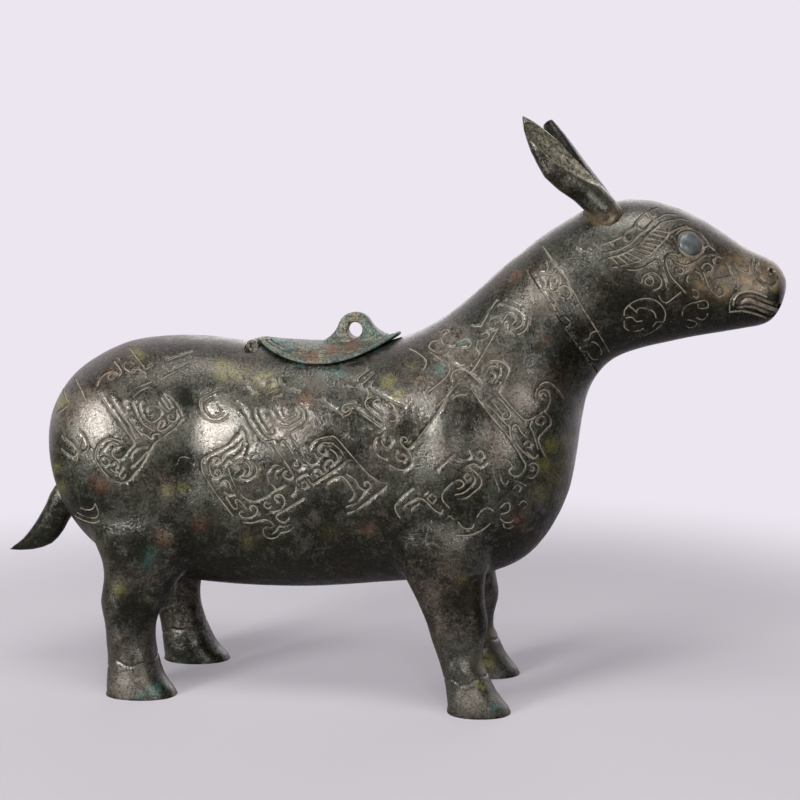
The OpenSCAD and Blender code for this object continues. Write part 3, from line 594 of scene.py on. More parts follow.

# Patches of patina, of wear with painted highlight, and of painted shade: pixels of the photograph and a
# radius
OLIVE_DABS = (
    (224, 371, 13), (236, 374, 9), (262, 379, 13), (272, 386, 8), (168, 491, 9), (182, 488, 9),
    (57, 468, 9), (60, 488, 10), (62, 402, 9), (120, 590, 10), (136, 355, 9), (388, 382, 9),
    (396, 394, 9), (556, 480, 11), (564, 462, 9), (560, 500, 9), (548, 466, 13), (553, 446, 11),
    (541, 495, 13), (568, 440, 9), (484, 660, 9), (482, 685, 9), (336, 483, 7), (330, 530, 12),
    (250, 542, 10), (462, 580, 8), (408, 367, 7),
)
TEAL_DABS = (
    (150, 552, 8), (145, 562, 7), (195, 648, 12), (155, 690, 10), (140, 698, 9), (275, 340, 11),
    (268, 348, 10), (285, 338, 9), (300, 366, 7), (392, 338, 8), (378, 348, 8), (345, 318, 5),
    (322, 376, 9), (338, 372, 8), (442, 370, 8), (463, 342, 5), (495, 706, 8), (500, 668, 8),
    (255, 383, 5),
)
# Worn metal, partly painted highlight: lighter spots where the light falls brightest
WEAR_AND_PAINTED_HIGHLIGHT_DABS = (
    (85, 415, 34), (215, 432, 34), (285, 425, 26), (441, 455, 18), (500, 450, 24), (524, 398, 20),
    (545, 290, 26), (450, 340, 22), (640, 270, 30), (752, 268, 22), (775, 262, 14), (726, 280, 18),
    (765, 285, 10), (566, 440, 12), (757, 304, 6), (769, 308, 6), (470, 700, 18), (490, 702, 12),
    (128, 688, 22), (28, 510, 14),
)
# Painted shade: dark spots where shade falls, ending in a row of small ones that paint the shadow in the gap
# under the lid's rim
PAINTED_SHADE_DABS = (
    (560, 345, 38), (625, 295, 40), (690, 325, 40), (645, 345, 40), (265, 565, 50), (340, 560, 55),
    (195, 550, 45), (184, 465, 22), (190, 400, 14), (535, 545, 40), (464, 500, 28), (350, 437, 34),
    (400, 545, 45), (325, 525, 34), (470, 415, 20), (130, 545, 32), (85, 505, 26), (410, 430, 18),
    (470, 600, 34), (135, 610, 30), (190, 610, 40), (495, 610, 36), (548, 150, 14), (562, 172, 14),
    (575, 192, 14), (540, 135, 9), (399, 338, 4), (393, 343, 4), (386, 348, 4), (377, 353, 4),
    (368, 358, 4), (359, 362, 4), (349, 365, 4), (338, 368, 4), (327, 369, 4), (316, 369, 4),
    (305, 368, 4), (295, 365, 4), (285, 361, 4), (276, 357, 4), (268, 352, 4),
)
GOLD_DABS = (
    (779, 277, 5), (781, 283, 4), (774, 288, 4), (766, 268, 7), (757, 288, 8), (748, 282, 8),
    (592, 219, 4), (599, 222, 4), (604, 215, 5), (735, 264, 13), (706, 286, 12), (690, 262, 9),
    (722, 292, 8), (760, 276, 11), (744, 272, 11), (776, 266, 8), (748, 292, 9),
)
RUST_DABS = (
    (419, 378, 5), (422, 396, 6), (515, 277, 8), (545, 338, 9), (165, 538, 12), (200, 525, 12),
    (370, 530, 10), (100, 485, 12), (535, 545, 12), (520, 520, 12), (305, 400, 8), (112, 372, 7),
    (330, 350, 12), (352, 346, 9), (312, 356, 9),
)
PATCH_DABS = {
    "wear_and_painted_highlight": WEAR_AND_PAINTED_HIGHLIGHT_DABS, "painted_shade": PAINTED_SHADE_DABS, "olive": OLIVE_DABS, "teal": TEAL_DABS, "rust": RUST_DABS,
}


# Selecting, editing and cutting


def only(obj):
    """Selects one object alone and makes it active."""
    bpy.ops.object.select_all(action="DESELECT")
    obj.select_set(True)
    bpy.context.view_layer.objects.active = obj
    return obj


def edit(obj, action="SELECT"):
    """Opens an object in edit mode with all or none of it selected."""
    only(obj)
    bpy.ops.object.mode_set(mode="EDIT")
    bpy.ops.mesh.select_all(action=action)


def leave():
    bpy.ops.object.mode_set(mode="OBJECT")


def take_new(name):
    """Names the object that an operator has just added."""
    obj = bpy.context.active_object
    obj.name = name
    obj.data.name = name
    return obj


def apply_modifier(obj, kind, **settings):
    only(obj)
    modifier = obj.modifiers.new(kind, kind)
    for key, value in settings.items():
        setattr(modifier, key, value)
    bpy.ops.object.modifier_apply(modifier=modifier.name)


def apply_place(obj):
    only(obj)
    bpy.ops.object.transform_apply(location=True, rotation=True, scale=True)


def join(objects, name):
    bpy.ops.object.select_all(action="DESELECT")
    for obj in objects:
        obj.select_set(True)
    bpy.context.view_layer.objects.active = objects[0]
    bpy.ops.object.join()
    return take_new(name)


def duplicate(obj, name):
    only(obj)
    bpy.ops.object.duplicate()
    return take_new(name)


def delete(obj):
    bpy.data.objects.remove(obj)


def copy_of(node, name):
    """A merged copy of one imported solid, free to be modelled."""
    piece = bpy.data.objects.new(name, frame["nodes"][node].data.copy())
    bpy.context.scene.collection.objects.link(piece)
    piece.data.materials.clear()
    edit(piece)
    bpy.ops.mesh.remove_doubles(threshold=MERGE)
    leave()
    return piece


def outer_island(obj, name):
    """Keeps the largest closed skin of a mesh and drops the hollows inside it."""
    edit(obj)
    bpy.ops.mesh.separate(type="LOOSE")
    leave()
    islands = list(bpy.context.selected_objects)
    kept = max(islands, key=lambda island: island.dimensions.length)
    for island in islands:
        if island is not kept:
            delete(island)
    kept.name = name
    kept.data.name = name
    return kept


def split_at(source, name, place, normal, keep_front):
    """The part of a closed form on one side of a plane, closed again at the cut."""
    piece = duplicate(source, name)
    edit(piece)
    bpy.ops.mesh.bisect(
        plane_co=place, plane_no=normal, use_fill=True,
        clear_inner=keep_front, clear_outer=not keep_front,
    )
    leave()
    return piece


def cut_away(piece, cutter):
    apply_modifier(piece, "BOOLEAN", operation="DIFFERENCE", object=cutter, solver="MANIFOLD")
    delete(cutter)


def remesh(piece, voxel):
    apply_modifier(piece, "REMESH", mode="VOXEL", voxel_size=voxel)


def smooth(piece, iterations, **settings):
    apply_modifier(piece, "SMOOTH", factor=SMOOTHING_FACTOR, iterations=iterations, **settings)


def choose(piece, kind, chosen):
    """Opens a piece in edit mode with only its chosen points or faces selected."""
    edit(piece, "DESELECT")
    bpy.ops.mesh.select_mode(type=kind)
    leave()
    elements = piece.data.polygons if kind == "FACE" else piece.data.vertices
    elements.foreach_set("select", chosen)
    only(piece)
    bpy.ops.object.mode_set(mode="EDIT")


# Places on the cast skin


def coordinates(obj):
    values = np.empty(len(obj.data.vertices) * 3)
    obj.data.vertices.foreach_get("co", values)
    return values.reshape(-1, 3)


def normals(obj):
    values = np.empty(len(obj.data.vertices) * 3, np.float32)
    obj.data.vertices.foreach_get("normal", values)
    return values.reshape(-1, 3).astype(float)


def set_coordinates(obj, values):
    obj.data.vertices.foreach_set("co", values.ravel())
    obj.data.update()


def push_out(piece, amount):
    """Moves each point of a mesh along its normal."""
    set_coordinates(piece, coordinates(piece) + normals(piece) * amount[:, None])


def paint(obj, name, values):
    """Stores one number at each point of a mesh, for its finish to read."""
    layer = obj.data.attributes.get(name) or obj.data.attributes.new(name, "FLOAT", "POINT")
    layer.data.foreach_set("value", values.astype(np.float32))


def painted_values(obj, name):
    values = np.zeros(len(obj.data.vertices), np.float32)
    if name in obj.data.attributes:
        obj.data.attributes[name].data.foreach_get("value", values)
    return values


def paint_dabs(obj, name, dabs):
    """Paints soft round spots where they show in the photograph, on both sides of the animal."""
    seen = pixels_of(coordinates(obj))
    value = np.zeros(len(seen))
    for x, y, radius in dabs:
        gap = np.hypot(seen[:, 0] - x, seen[:, 1] - y) / radius
        value = np.maximum(value, np.exp(-gap ** 2))
    paint(obj, name, value)


def tree_of(obj):
    corners = [vertex.co.copy() for vertex in obj.data.vertices]
    faces = [tuple(face.vertices) for face in obj.data.polygons]
    return BVHTree.FromPolygons(corners, faces)


def gaps_to(tree, piece):
    """Distance of each point of a piece from a skin."""
    return np.array([tree.find_nearest(Vector(place))[3] for place in coordinates(piece)])


def mirrored(place):
    """The same place on the animal's other side."""
    return Vector((place.x, -place.y, place.z))


def sight_line(pixel):
    """Direction from the camera through a pixel of the photograph."""
    return (FORWARD * FOCAL + RIGHT * (pixel[0] - MIDDLE) + UP * (MIDDLE - pixel[1])).normalized()


def pixels_of(places):
    """Pixels of the photograph at which places would show, with the far side taken as the near one."""
    run = places * (1, 0, 1) - np.abs(places) * (0, 1, 0) - np.array(CAMERA_PLACE)
    depth = run @ np.array(FORWARD)
    across = run @ np.array(RIGHT) / depth
    rise = run @ np.array(UP) / depth
    return np.column_stack((MIDDLE + FOCAL * across, MIDDLE - FOCAL * rise))


def facing_share(obj):
    """How squarely each place, or its mirror image on the near side, faces the camera: 0 is edge-on."""
    ways = normals(obj)
    ways[:, 1] *= np.where(coordinates(obj)[:, 1] > 0, -1, 1)
    return np.clip(-FACING_GAIN * ways @ np.array(FORWARD), 0, 1)


def seen_at(tree, pixel):
    """Place on the skin that shows at a pixel of the photograph, or None beside it."""
    return tree.ray_cast(CAMERA_PLACE, sight_line(pixel))[0]


def along_curve(points, step):
    """Points at even steps along a smooth curve through a few points."""
    points = [np.array(point, float) for point in points]
    ends = [2 * points[0] - points[1]] + points + [2 * points[-1] - points[-2]]
    line = []
    for before, start, end, after in zip(ends, ends[1:], ends[2:], ends[3:]):
        count = max(1, round(np.linalg.norm(end - start) / step))
        for i in range(count):
            t = i / count
            line.append(0.5 * (
                2 * start + (end - before) * t
                + (2 * before - 5 * start + 4 * end - after) * t ** 2
                + (3 * start - before - 3 * end + after) * t ** 3
            ))
    line.append(points[-1])
    return line


# Engraving


class Engraving:
    """Lines on the skin, each with its half-width and depth."""

    # Longest step within a line, and how far off a line is searched for
    BREAK = 4 * MM
    FAR = 6 * MM
    LEAST_SQUARE = 1e-12

    def __init__(self):
        self.starts = []
        self.ends = []
        self.widths = []
        self.depths = []

    def add_places(self, places, half_width, depth):
        for start, end in zip(places, places[1:]):
            if start is None or end is None or (end - start).length > self.BREAK:
                continue
            self.starts.append(start)
            self.ends.append(end)
            self.widths.append(half_width)
            self.depths.append(depth)

    def add_seen(self, tree, pixels, half_width=LINE_HALF_WIDTH, depth=LINE_DEPTH):
        """Adds a line of the photograph, and its mirror image on the far side."""
        places = [seen_at(tree, pixel) for pixel in along_curve(pixels, LINE_STEP)]
        self.add_places(places, half_width, depth)
        self.add_places([place and mirrored(place) for place in places], half_width, depth)

    def settle(self):
        """Makes the lines ready to be searched."""
        self.starts = np.array(self.starts)
        self.ends = np.array(self.ends)
        self.widths = np.array(self.widths)
        self.depths = np.array(self.depths)
        self.search = KDTree(len(self.starts))
        for i, middle in enumerate((self.starts + self.ends) / 2):
            self.search.insert(middle, i)
        self.search.balance()

    def nearest(self, places, neighbours=3):
        """For each place, the nearest point of the lines, its distance, half-width and depth."""
        count = len(places)
        closest = np.array(places)
        distance = np.full(count, self.FAR)
        width = np.full(count, LINE_HALF_WIDTH)
        depth = np.zeros(count)
        for i, place in enumerate(places):
            for _, k, reach in self.search.find_n(place, neighbours):
                if reach > self.FAR:
                    continue
                run = self.ends[k] - self.starts[k]
                t = np.clip((place - self.starts[k]) @ run / max(run @ run, self.LEAST_SQUARE), 0, 1)
                foot = self.starts[k] + t * run
                gap = math.dist(foot, place)
                if gap < distance[i]:
                    closest[i] = foot
                    distance[i] = gap
                    width[i] = self.widths[k]
                    depth[i] = self.depths[k]
        return closest, distance, width, depth

    def sink_into(self, piece):
        """Refines a piece along the lines and sinks them into it."""
        _, distance, width, _ = self.nearest(face_middles(piece), 1)
        refine(piece, distance < width + LINE_REACH, LINE_CUTS)
        places = coordinates(piece)
        outward = normals(piece)
        closest, distance, width, depth = self.nearest(places)
        to_line = closest - places
        to_line -= outward * np.sum(to_line * outward, axis=1, keepdims=True)
        snapped = distance < SNAP
        places[snapped] += to_line[snapped]
        profile = np.clip(1 - (distance / width) ** 2, 0, 1)
        profile[snapped] = 1
        places -= outward * (profile * depth)[:, None]
        set_coordinates(piece, places)
        thin(piece)

    def mark(self, piece, tree):
        """Paints how near each point lies to the middle of a groove or ridge, measured on the uncut skin."""
        skin_places = np.array([tree.find_nearest(Vector(place))[0] for place in coordinates(piece)])
        _, distance, width, depth = self.nearest(skin_places)
        nearness = np.clip(1 - distance / (LINE_MARK * width), 0, 1)
        # Paints the grooves: their edges are darkened as painted shade and their middles filled pale
        paint(piece, "line", np.where(depth > 0, nearness, 0))
        # Paints the raised lips pale, partly wear and partly painted highlight
        paint(piece, "ridge", np.where(depth < 0, nearness, 0))


# The cast skin: body, neck, head and legs as one flowing form


def box_cutter(name, low, high):
    bpy.ops.mesh.primitive_cube_add(size=1, location=(low + high) / 2)
    cutter = take_new(name)
    cutter.scale = high - low
    apply_place(cutter)
    return cutter


def oval_cutter(name, half_length, half_width, low, high):
    """An upright oval block at the lid's place."""
    bpy.ops.mesh.primitive_cylinder_add(
        vertices=OVAL_SIDES, radius=1, depth=high - low, location=(LID_MIDDLE, 0, (low + high) / 2),
    )
    cutter = take_new(name)
    cutter.scale = (half_length, half_width, 1)
    apply_place(cutter)
    return cutter


def round_cutter(name, radius, depth, place, turn):
    bpy.ops.mesh.primitive_cylinder_add(
        vertices=ROUND_SIDES, radius=radius, depth=depth, location=place, rotation=turn,
    )
    cutter = take_new(name)
    apply_place(cutter)
    return cutter


def eye_frame(side):
    """Middle of an eye's rim and the direction that the eye looks in; side 1 is the animal's right."""
    low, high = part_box("right_eye" if side == 1 else "left_eye")
    axis = Vector((EYE_AXIS.x, EYE_AXIS.y * side, EYE_AXIS.z)).normalized()
    return (low + high) / 2, axis


def turned_to(way):
    """Turn that points an upright piece in a direction."""
    return way.to_track_quat("Z", "Y").to_euler()


def eye_plug(side):
    """Filling for an eye's seat, up to its rim."""
    middle, axis = eye_frame(side)
    depth = EYE_SEAT + EYE_PLUG_SINK
    place = middle - axis * depth / 2
    return round_cutter("eye_plug", EYE_RADIUS + EYE_PLUG_MARGIN, depth, place, turned_to(axis))


def plugs():
    """Fillings for the mouth, the hinge's seat and the eyes' seats, so that the skin is whole."""
    lid_plug = copy_of("lid", "lid_plug")
    lid_plug.location = (0, 0, -LID_GAP - LID_PLATE - PLUG_SINK)
    apply_place(lid_plug)
    low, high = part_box("hinge_bracket")
    top = Vector((high.x, high.y, HINGE_AXIS.z))
    hinge_plug = box_cutter("hinge_plug", low - PLUG_MARGIN, top + PLUG_MARGIN)
    return [lid_plug, hinge_plug] + [eye_plug(side) for side in BOTH_SIDES]


def smooth_softly(piece, weight, iterations):
    """Smooths a mesh, each point as far as its weight says."""
    group = piece.vertex_groups.new(name="soft")
    for index, value in enumerate(weight):
        group.add([index], value, "REPLACE")
    smooth(piece, iterations, vertex_group=group.name)
    piece.vertex_groups.clear()


def cast_skin():
    """Body, head and legs as one skin, smoothed least at the hooves."""
    parts = [copy_of(node, node + "_form") for node in SKIN_NODES] + plugs()
    skin = join(parts, "cast_skin")
    remesh(skin, SKIN_VOXEL)
    skin = outer_island(skin, "cast_skin")
    height = coordinates(skin)[:, 2]
    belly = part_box("body_shell")[0].z
    levels = (0, HOOF_TOP, belly, belly + BELLY_BLEND)
    weight = np.interp(height, levels, (SOLE_SMOOTHING, LEG_SMOOTHING, LEG_SMOOTHING, 1))
    smooth_softly(skin, weight, SKIN_SMOOTHING)
    return skin


def hollow_of(skin):
    """The space inside the body, a wall in from the skin and closed at the legs and the neck."""
    inside = duplicate(skin, "hollow")
    remesh(inside, HOLLOW_VOXEL)
    smooth(inside, HOLLOW_SMOOTHING)
    apply_modifier(inside, "DISPLACE", strength=-CAST_WALL, mid_level=0.0)
    edit(inside)
    bpy.ops.mesh.bisect(plane_co=HOLLOW_FLOOR, plane_no=(0, 0, 1), use_fill=True, clear_inner=True)
    bpy.ops.mesh.select_all(action="SELECT")
    bpy.ops.mesh.bisect(plane_co=HOLLOW_FRONT, plane_no=(1, 0, 0), use_fill=True, clear_outer=True)
    leave()
    return inside


def open_body(body, hollow):
    """Hollows the body, and cuts its mouth, the hinge's seat and a notch round the hinge's axis."""
    cut_away(body, hollow)
    half_length = LID_LENGTH / 2 - LID_OVERLAP
    half_width = LID_WIDTH / 2 - LID_OVERLAP
    cut_away(body, oval_cutter("mouth", half_length, half_width, MOUTH_BOTTOM, MOUTH_TOP))
    low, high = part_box("hinge_bracket")
    room = Vector((1, 1, 1)) * SEAT_ROOM
    cut_away(body, box_cutter("hinge_seat", low - room, high + room + SEAT_HEIGHT * Z_AXIS))
    cut_away(body, round_cutter("hinge_notch", NOTCH_RADIUS, 2 * NOTCH_REACH, HINGE_AXIS, NOTCH_TURN))


def refine(piece, chosen, cuts):
    """Subdivides the chosen faces of a piece."""
    choose(piece, "FACE", chosen)
    bpy.ops.mesh.subdivide(number_cuts=cuts)
    leave()


def thin(piece):
    """Merges faces where a piece is smooth, until it has few enough."""
    count = sum(len(face.vertices) - 2 for face in piece.data.polygons)
    if count > MOST_TRIANGLES:
        apply_modifier(piece, "DECIMATE", ratio=MOST_TRIANGLES / count)


def face_middles(piece):
    centres = np.empty(len(piece.data.polygons) * 3)
    piece.data.polygons.foreach_get("center", centres)
    return centres.reshape(-1, 3)


def pit(piece, middle, radius, depth, rim):
    """Sinks a round hole with a raised rim into a piece, on both sides of the animal."""
    for place in (middle, mirrored(middle)):
        near = np.linalg.norm(face_middles(piece) - np.array(place), axis=1) < PIT_REACH * radius
        refine(piece, near, PIT_CUTS)
        gap = np.linalg.norm(coordinates(piece) - np.array(place), axis=1) / radius
        raised = np.exp(-((gap - PIT_RIM_AT) / PIT_RIM_SPREAD) ** 2) * rim
        push_out(piece, raised - np.clip(1 - gap ** PIT_CURVE, 0, 1) * depth)
        shade = np.clip(PIT_SHADE - gap, 0, 1)
        paint(piece, "line", np.maximum(painted_values(piece, "line"), shade))


def flat_sole(limb):
    """Cuts a hoof level, draws its rim straight down, spread a little, and pulls its toe forwards."""
    places = coordinates(limb)
    hoof = places[places[:, 2] < 2 * SOLE_RIM]
    middle = (hoof.min(axis=0) + hoof.max(axis=0)) / 2
    edit(limb)
    bpy.ops.mesh.bisect(plane_co=(0, 0, SOLE_RIM), plane_no=Z_AXIS, clear_inner=True, threshold=MERGE)
    bpy.ops.mesh.extrude_edges_move()
    bpy.ops.transform.translate(value=(0, 0, -SOLE_RIM))
    bpy.ops.transform.resize(value=(SOLE_SPREAD, SOLE_SPREAD, 1), center_override=(middle[0], middle[1], 0))
    bpy.ops.mesh.edge_face_add()
    leave()
    places = coordinates(limb)
    forward = np.clip((places[:, 0] - middle[0]) / (hoof[:, 0].max() - middle[0]), 0, 1) ** TOE_CURVE
    low = np.clip(1 - places[:, 2] / TOE_HEIGHT, 0, 1)
    places[:, 0] += TOE_PULL * forward * low
    set_coordinates(limb, places)


def tuck(piece, edge, way):
    """Draws a piece in beyond a level, so that it slips inside its neighbour; way 1 is upwards."""
    beyond = np.clip((coordinates(piece)[:, 2] - edge) * way / LEG_OVERLAP, 0, 1)
    push_out(piece, -LEG_TUCK * beyond)


def limb_of(skin, node, name, edge):
    """One leg out of the cast skin, with its top slipped inside the body."""
    low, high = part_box(node)
    top = Vector((high.x, high.y, edge + LEG_OVERLAP - LEG_MARGIN.z))
    limb = duplicate(skin, name)
    cutter = box_cutter("leg_room", low - LEG_MARGIN, top + LEG_MARGIN)
    apply_modifier(limb, "BOOLEAN", operation="INTERSECT", object=cutter, solver="MANIFOLD")
    delete(cutter)
    tuck(limb, edge, 1)
    return limb


def hoof_ring(engraving, limb, height):
    """Adds a line round the top of a hoof."""
    tree = tree_of(limb)
    places = coordinates(limb)
    band = places[np.abs(places[:, 2] - height) < HOOF_BAND].mean(axis=0)
    start = Vector((band[0], band[1], height))
    ring = []
    for angle in np.linspace(0, 2 * math.pi, HOOF_RING_STEPS + 1):
        sway = HOOF_TILT * math.cos(angle)
        for size, count, shift in HOOF_RIPPLES:
            sway += size * math.sin(count * angle + band[0] * shift)
        way = Vector((math.cos(angle), math.sin(angle), sway))
        ring.append(tree.ray_cast(start, way)[0])
    engraving.add_places(ring, *HOOF_LINE)


# Small castings


def small_casting(node, name, voxel, smoothing):
    """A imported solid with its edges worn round."""
    piece = copy_of(node, name)
    remesh(piece, voxel)
    smooth(piece, smoothing)
    return piece


def cloud_at(places, size):
    """Smooth random values from -1 to 1, whose lumps are about one size across."""
    return np.array([lumps.noise(Vector(place) / size) for place in places])


def solder_foot(piece, tree):
    """Raises a rough collar of solder where a piece meets the cast skin."""
    gap = gaps_to(tree, piece)
    rough = SOLDER_EVEN + SOLDER_UNEVEN * cloud_at(coordinates(piece), SOLDER_LUMP)
    push_out(piece, np.clip(1 - gap / SOLDER_REACH, 0, 1) ** 2 * rough * SOLDER_HEIGHT)
    paint(piece, "solder", np.clip(SOLDER_EDGE - gap / SOLDER_REACH, 0, SOLDER_MOST))


def ear_axes(places, side):
    """An ear's middle, and its directions along it, out to its own side and forwards."""
    middle = places.mean(axis=0)
    axis = Vector(np.linalg.svd(places - middle, full_matrices=False)[2][0])
    axis = axis if axis.z > 0 else -axis
    near = Vector((-FORWARD.x, -FORWARD.y * side, -FORWARD.z))
    near = (near - axis * near.dot(axis)).normalized()
    return middle, axis, near, axis.cross(near) * side


def draw_in(leaf, middle, axis, front):
    """Gives the rear half of an ear its width at each height."""
    places = coordinates(leaf)
    along = (places - middle) @ np.array(axis)
    lateral = (places - middle) @ np.array(front)
    heights, shares = zip(*EAR_WAIST)
    scale = np.interp(along - along.max() + EAR_LENGTH, heights, shares)
    change = np.where(lateral < 0, lateral * (scale - 1), 0)
    set_coordinates(leaf, places + change[:, None] * np.array(front))


def ear_bowl(middle, axis, near, front):
    """The hollow of an ear, as a long ball to cut away."""
    facing = (front * BOWL_FACING[0] + near * BOWL_FACING[1]).normalized()
    lengthwise = (axis - front * BOWL_TILT).normalized()
    facing = (facing - lengthwise * facing.dot(lengthwise)).normalized()
    bpy.ops.mesh.primitive_uv_sphere_add(
        segments=BOWL_SEGMENTS, ring_count=BOWL_ROWS, radius=1,
        location=Vector(middle) + axis * BOWL_SHIFT + facing * BOWL_OFFSET,
        rotation=Matrix((facing.cross(lengthwise), facing, lengthwise)).transposed().to_euler(),
    )
    bowl = take_new("bowl")
    bowl.scale = BOWL_SIZE
    apply_place(bowl)
    return bowl


def ear_leaf(node, side, tree):
    """An ear drawn in above its foot, with its bowl opening forwards and to its own side."""
    leaf = copy_of(node, node + "_leaf")
    edit(leaf)
    bpy.ops.mesh.convex_hull()
    leave()
    remesh(leaf, EAR_VOXEL)
    smooth(leaf, EAR_SMOOTHING)
    middle, axis, near, front = ear_axes(coordinates(leaf), side)
    draw_in(leaf, middle, axis, front)
    bowl = ear_bowl(middle, axis, near, front)
    bowl_tree = tree_of(bowl)
    cut_away(leaf, bowl)
    smooth(leaf, BOWL_SMOOTHING)
    paint(leaf, "bowl", np.clip(BOWL_EDGE - gaps_to(bowl_tree, leaf) / BOWL_SKIN, 0, 1))
    solder_foot(leaf, tree)
    paint_dabs(leaf, "line", EAR_PITS)
    return leaf


def back_surface(tree):
    """Smooth height of the back round the lid, as a function of x and y."""
    rows = []
    heights = []

    def terms(x, y):
        return [x ** i * y ** j for i in range(5) for j in (0, 2, 4)]

    for x in np.linspace(-BACK_REACH[0], BACK_REACH[0], BACK_STEPS):
        for y in np.linspace(-BACK_REACH[1], BACK_REACH[1], BACK_STEPS):
            over_mouth = x * x + y * y < BACK_MOUTH
            over_hinge = x < -BACK_HINGE[0] and abs(y) < BACK_HINGE[1]
            if over_mouth or over_hinge:
                continue
            top = Vector((LID_MIDDLE + x * LID_LENGTH / 2, y * LID_WIDTH / 2, cad_box[1].z))
            rows.append(terms(x, y))
            heights.append(tree.ray_cast(top, -Z_AXIS)[0].z)
    weights = np.linalg.lstsq(np.array(rows), np.array(heights), rcond=None)[0]

    def height(x, y):
        return np.dot(terms((x - LID_MIDDLE) / (LID_LENGTH / 2), y / (LID_WIDTH / 2)), weights)

    return height


def lid_ovals():
    """Rings from the middle of the lid's underside, round its rim, to the middle of its top.

    Each has its half-length, half-width and height in millimetres, and whether it is painted dark as shade.
    """
    flange_out = (LID_OVERLAP + FLANGE_GAP) / MM
    flange_in = flange_out + FLANGE_WALL / MM
    chamfer, chamfer_height = FLANGE_CHAMFER_MM
    chamfer_top = chamfer_height - FLANGE_DEPTH_MM
    under = (
        (flange_in, 0), (flange_in, chamfer_top), (flange_in - chamfer, -FLANGE_DEPTH_MM),
        (flange_out + chamfer, -FLANGE_DEPTH_MM), (flange_out, chamfer_top), (flange_out, 0), (LID_LIP_MM, 0),
    )
    half_length = LID_LENGTH / 2 / MM
    half_width = LID_WIDTH / 2 / MM
    edge = [
        (half_length - inset, half_width - inset, lift + LID_GAP / MM, lift < LID_SHADE_BELOW_MM)
        for inset, lift in under + LID_RIM
    ]

    def within(oval, share):
        return oval[0] * share, oval[1] * share, oval[2], False

    shares = (1 - LID_HEART) * np.linspace(0, 1, LID_INNER_RINGS + 1)[1:]
    below = [within(edge[0], LID_HEART + share) for share in shares[:-1]]
    above = [within(edge[-1], 1 - share) for share in shares]
    return below + edge + above


def lid_plate(height):
    """Oval plate that follows the back, with lines round its rim and a flange below it."""
    ovals = lid_ovals()
    bpy.ops.mesh.primitive_circle_add(vertices=LID_SIDES, radius=1, location=(0, 0, 0))
    plate = take_new("lid_plate")
    edit(plate)
    bpy.ops.transform.resize(value=(ovals[0][0], ovals[0][1], 1))
    for before, after in zip(ovals, ovals[1:]):
        bpy.ops.mesh.extrude_edges_move()
        bpy.ops.transform.resize(value=(after[0] / before[0], after[1] / before[1], 1))
    bpy.ops.mesh.edge_face_add()
    leave()
    places = coordinates(plate) * MM
    places[:, 0] += LID_MIDDLE
    places[:, 2] = [height(x, y) for x, y in places[:, :2]]
    places[:, 2] += np.repeat([oval[2] for oval in ovals], LID_SIDES) * MM
    set_coordinates(plate, places)
    # Painted shade on the underside and in the lines round the rim
    paint(plate, "line", np.repeat([float(oval[3]) for oval in ovals], LID_SIDES))
    choose(plate, "VERT", np.arange(len(places)) < LID_SIDES)
    bpy.ops.mesh.edge_face_add()
    bpy.ops.mesh.select_all(action="SELECT")
    bpy.ops.mesh.normals_make_consistent(inside=False)
    bpy.ops.mesh.bisect(
        plane_co=(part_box("lid")[0].x, 0, 0), plane_no=(1, 0, 0), use_fill=True, clear_inner=True,
    )
    leave()
    return plate


def lifting_loop(height):
    """The loop, with its edges worn round and its foot spread on the lid."""
    loop = small_casting("lid_loop", "lifting_loop", LOOP_VOXEL, LOOP_SMOOTHING)
    places = coordinates(loop)
    above = np.array([z - height(x, y) for x, y, z in places]) - LID_GAP - LID_PLATE
    spread = np.clip(1 - above / LOOP_FILLET, 0, 1) ** LOOP_FLOW
    wide = places[:, 1] * (1 + LOOP_SPREAD * spread)
    drop = [height(x, new) - height(x, old) for x, old, new in zip(places[:, 0], places[:, 1], wide)]
    places[:, 1] = wide
    places[:, 2] += np.array(drop) * spread
    set_coordinates(loop, places)
    return loop


def eye_stone(name, side):
    """A low polished dome, a little uneven, set in its seat."""
    middle, axis = eye_frame(side)
    bpy.ops.mesh.primitive_uv_sphere_add(
        segments=EYE_SEGMENTS, ring_count=EYE_ROWS, radius=EYE_RADIUS,
        location=middle, rotation=turned_to(axis),
    )
    stone = take_new(name)
    stone.scale = (1, 1, EYE_DOME / EYE_RADIUS)
    apply_place(stone)
    push_out(stone, cloud_at(coordinates(stone), EYE_LUMP) * EYE_UNEVEN)
    return stone


# Finishes


def set_inputs(tree, node, inputs):
    """Links or sets the sockets of a node."""
    for key, value in inputs.items():
        if isinstance(value, bpy.types.NodeSocket):
            tree.links.new(value, node.inputs[key])
        else:
            node.inputs[key].default_value = value


def add_node(tree, kind, inputs, **settings):
    node = tree.nodes.new(kind)
    for key, value in settings.items():
        setattr(node, key, value)
    set_inputs(tree, node, inputs)
    return node


def noise(tree, place, size_mm, detail, roughness, lift):
    """Cloudy values whose blotches are about size_mm across; another lift is another cloud."""
    node = add_node(tree, "ShaderNodeTexNoise", {
        "Vector": place, "Scale": METRE_MM / size_mm, "Detail": detail, "Roughness": roughness, "W": lift,
    }, noise_dimensions="4D")
    return node.outputs["Fac"]


def between(tree, value, low, high, least=0.0, most=1.0):
    """Goes softly from least to most as a value goes from low to high."""
    node = add_node(tree, "ShaderNodeMapRange", {
        "Value": value, "From Min": low, "From Max": high, "To Min": least, "To Max": most,
    }, interpolation_type="SMOOTHSTEP")
    return node.outputs["Result"]


def calc(tree, operation, *values):
    return add_node(tree, "ShaderNodeMath", dict(enumerate(values)), operation=operation).outputs[0]


def colour_mix(tree, amount, first, second):
    node = add_node(tree, "ShaderNodeMix", {0: amount, 6: first, 7: second}, data_type="RGBA")
    return node.outputs[2]


def painted(tree, name):
    return add_node(tree, "ShaderNodeAttribute", {}, attribute_name=name).outputs["Fac"]


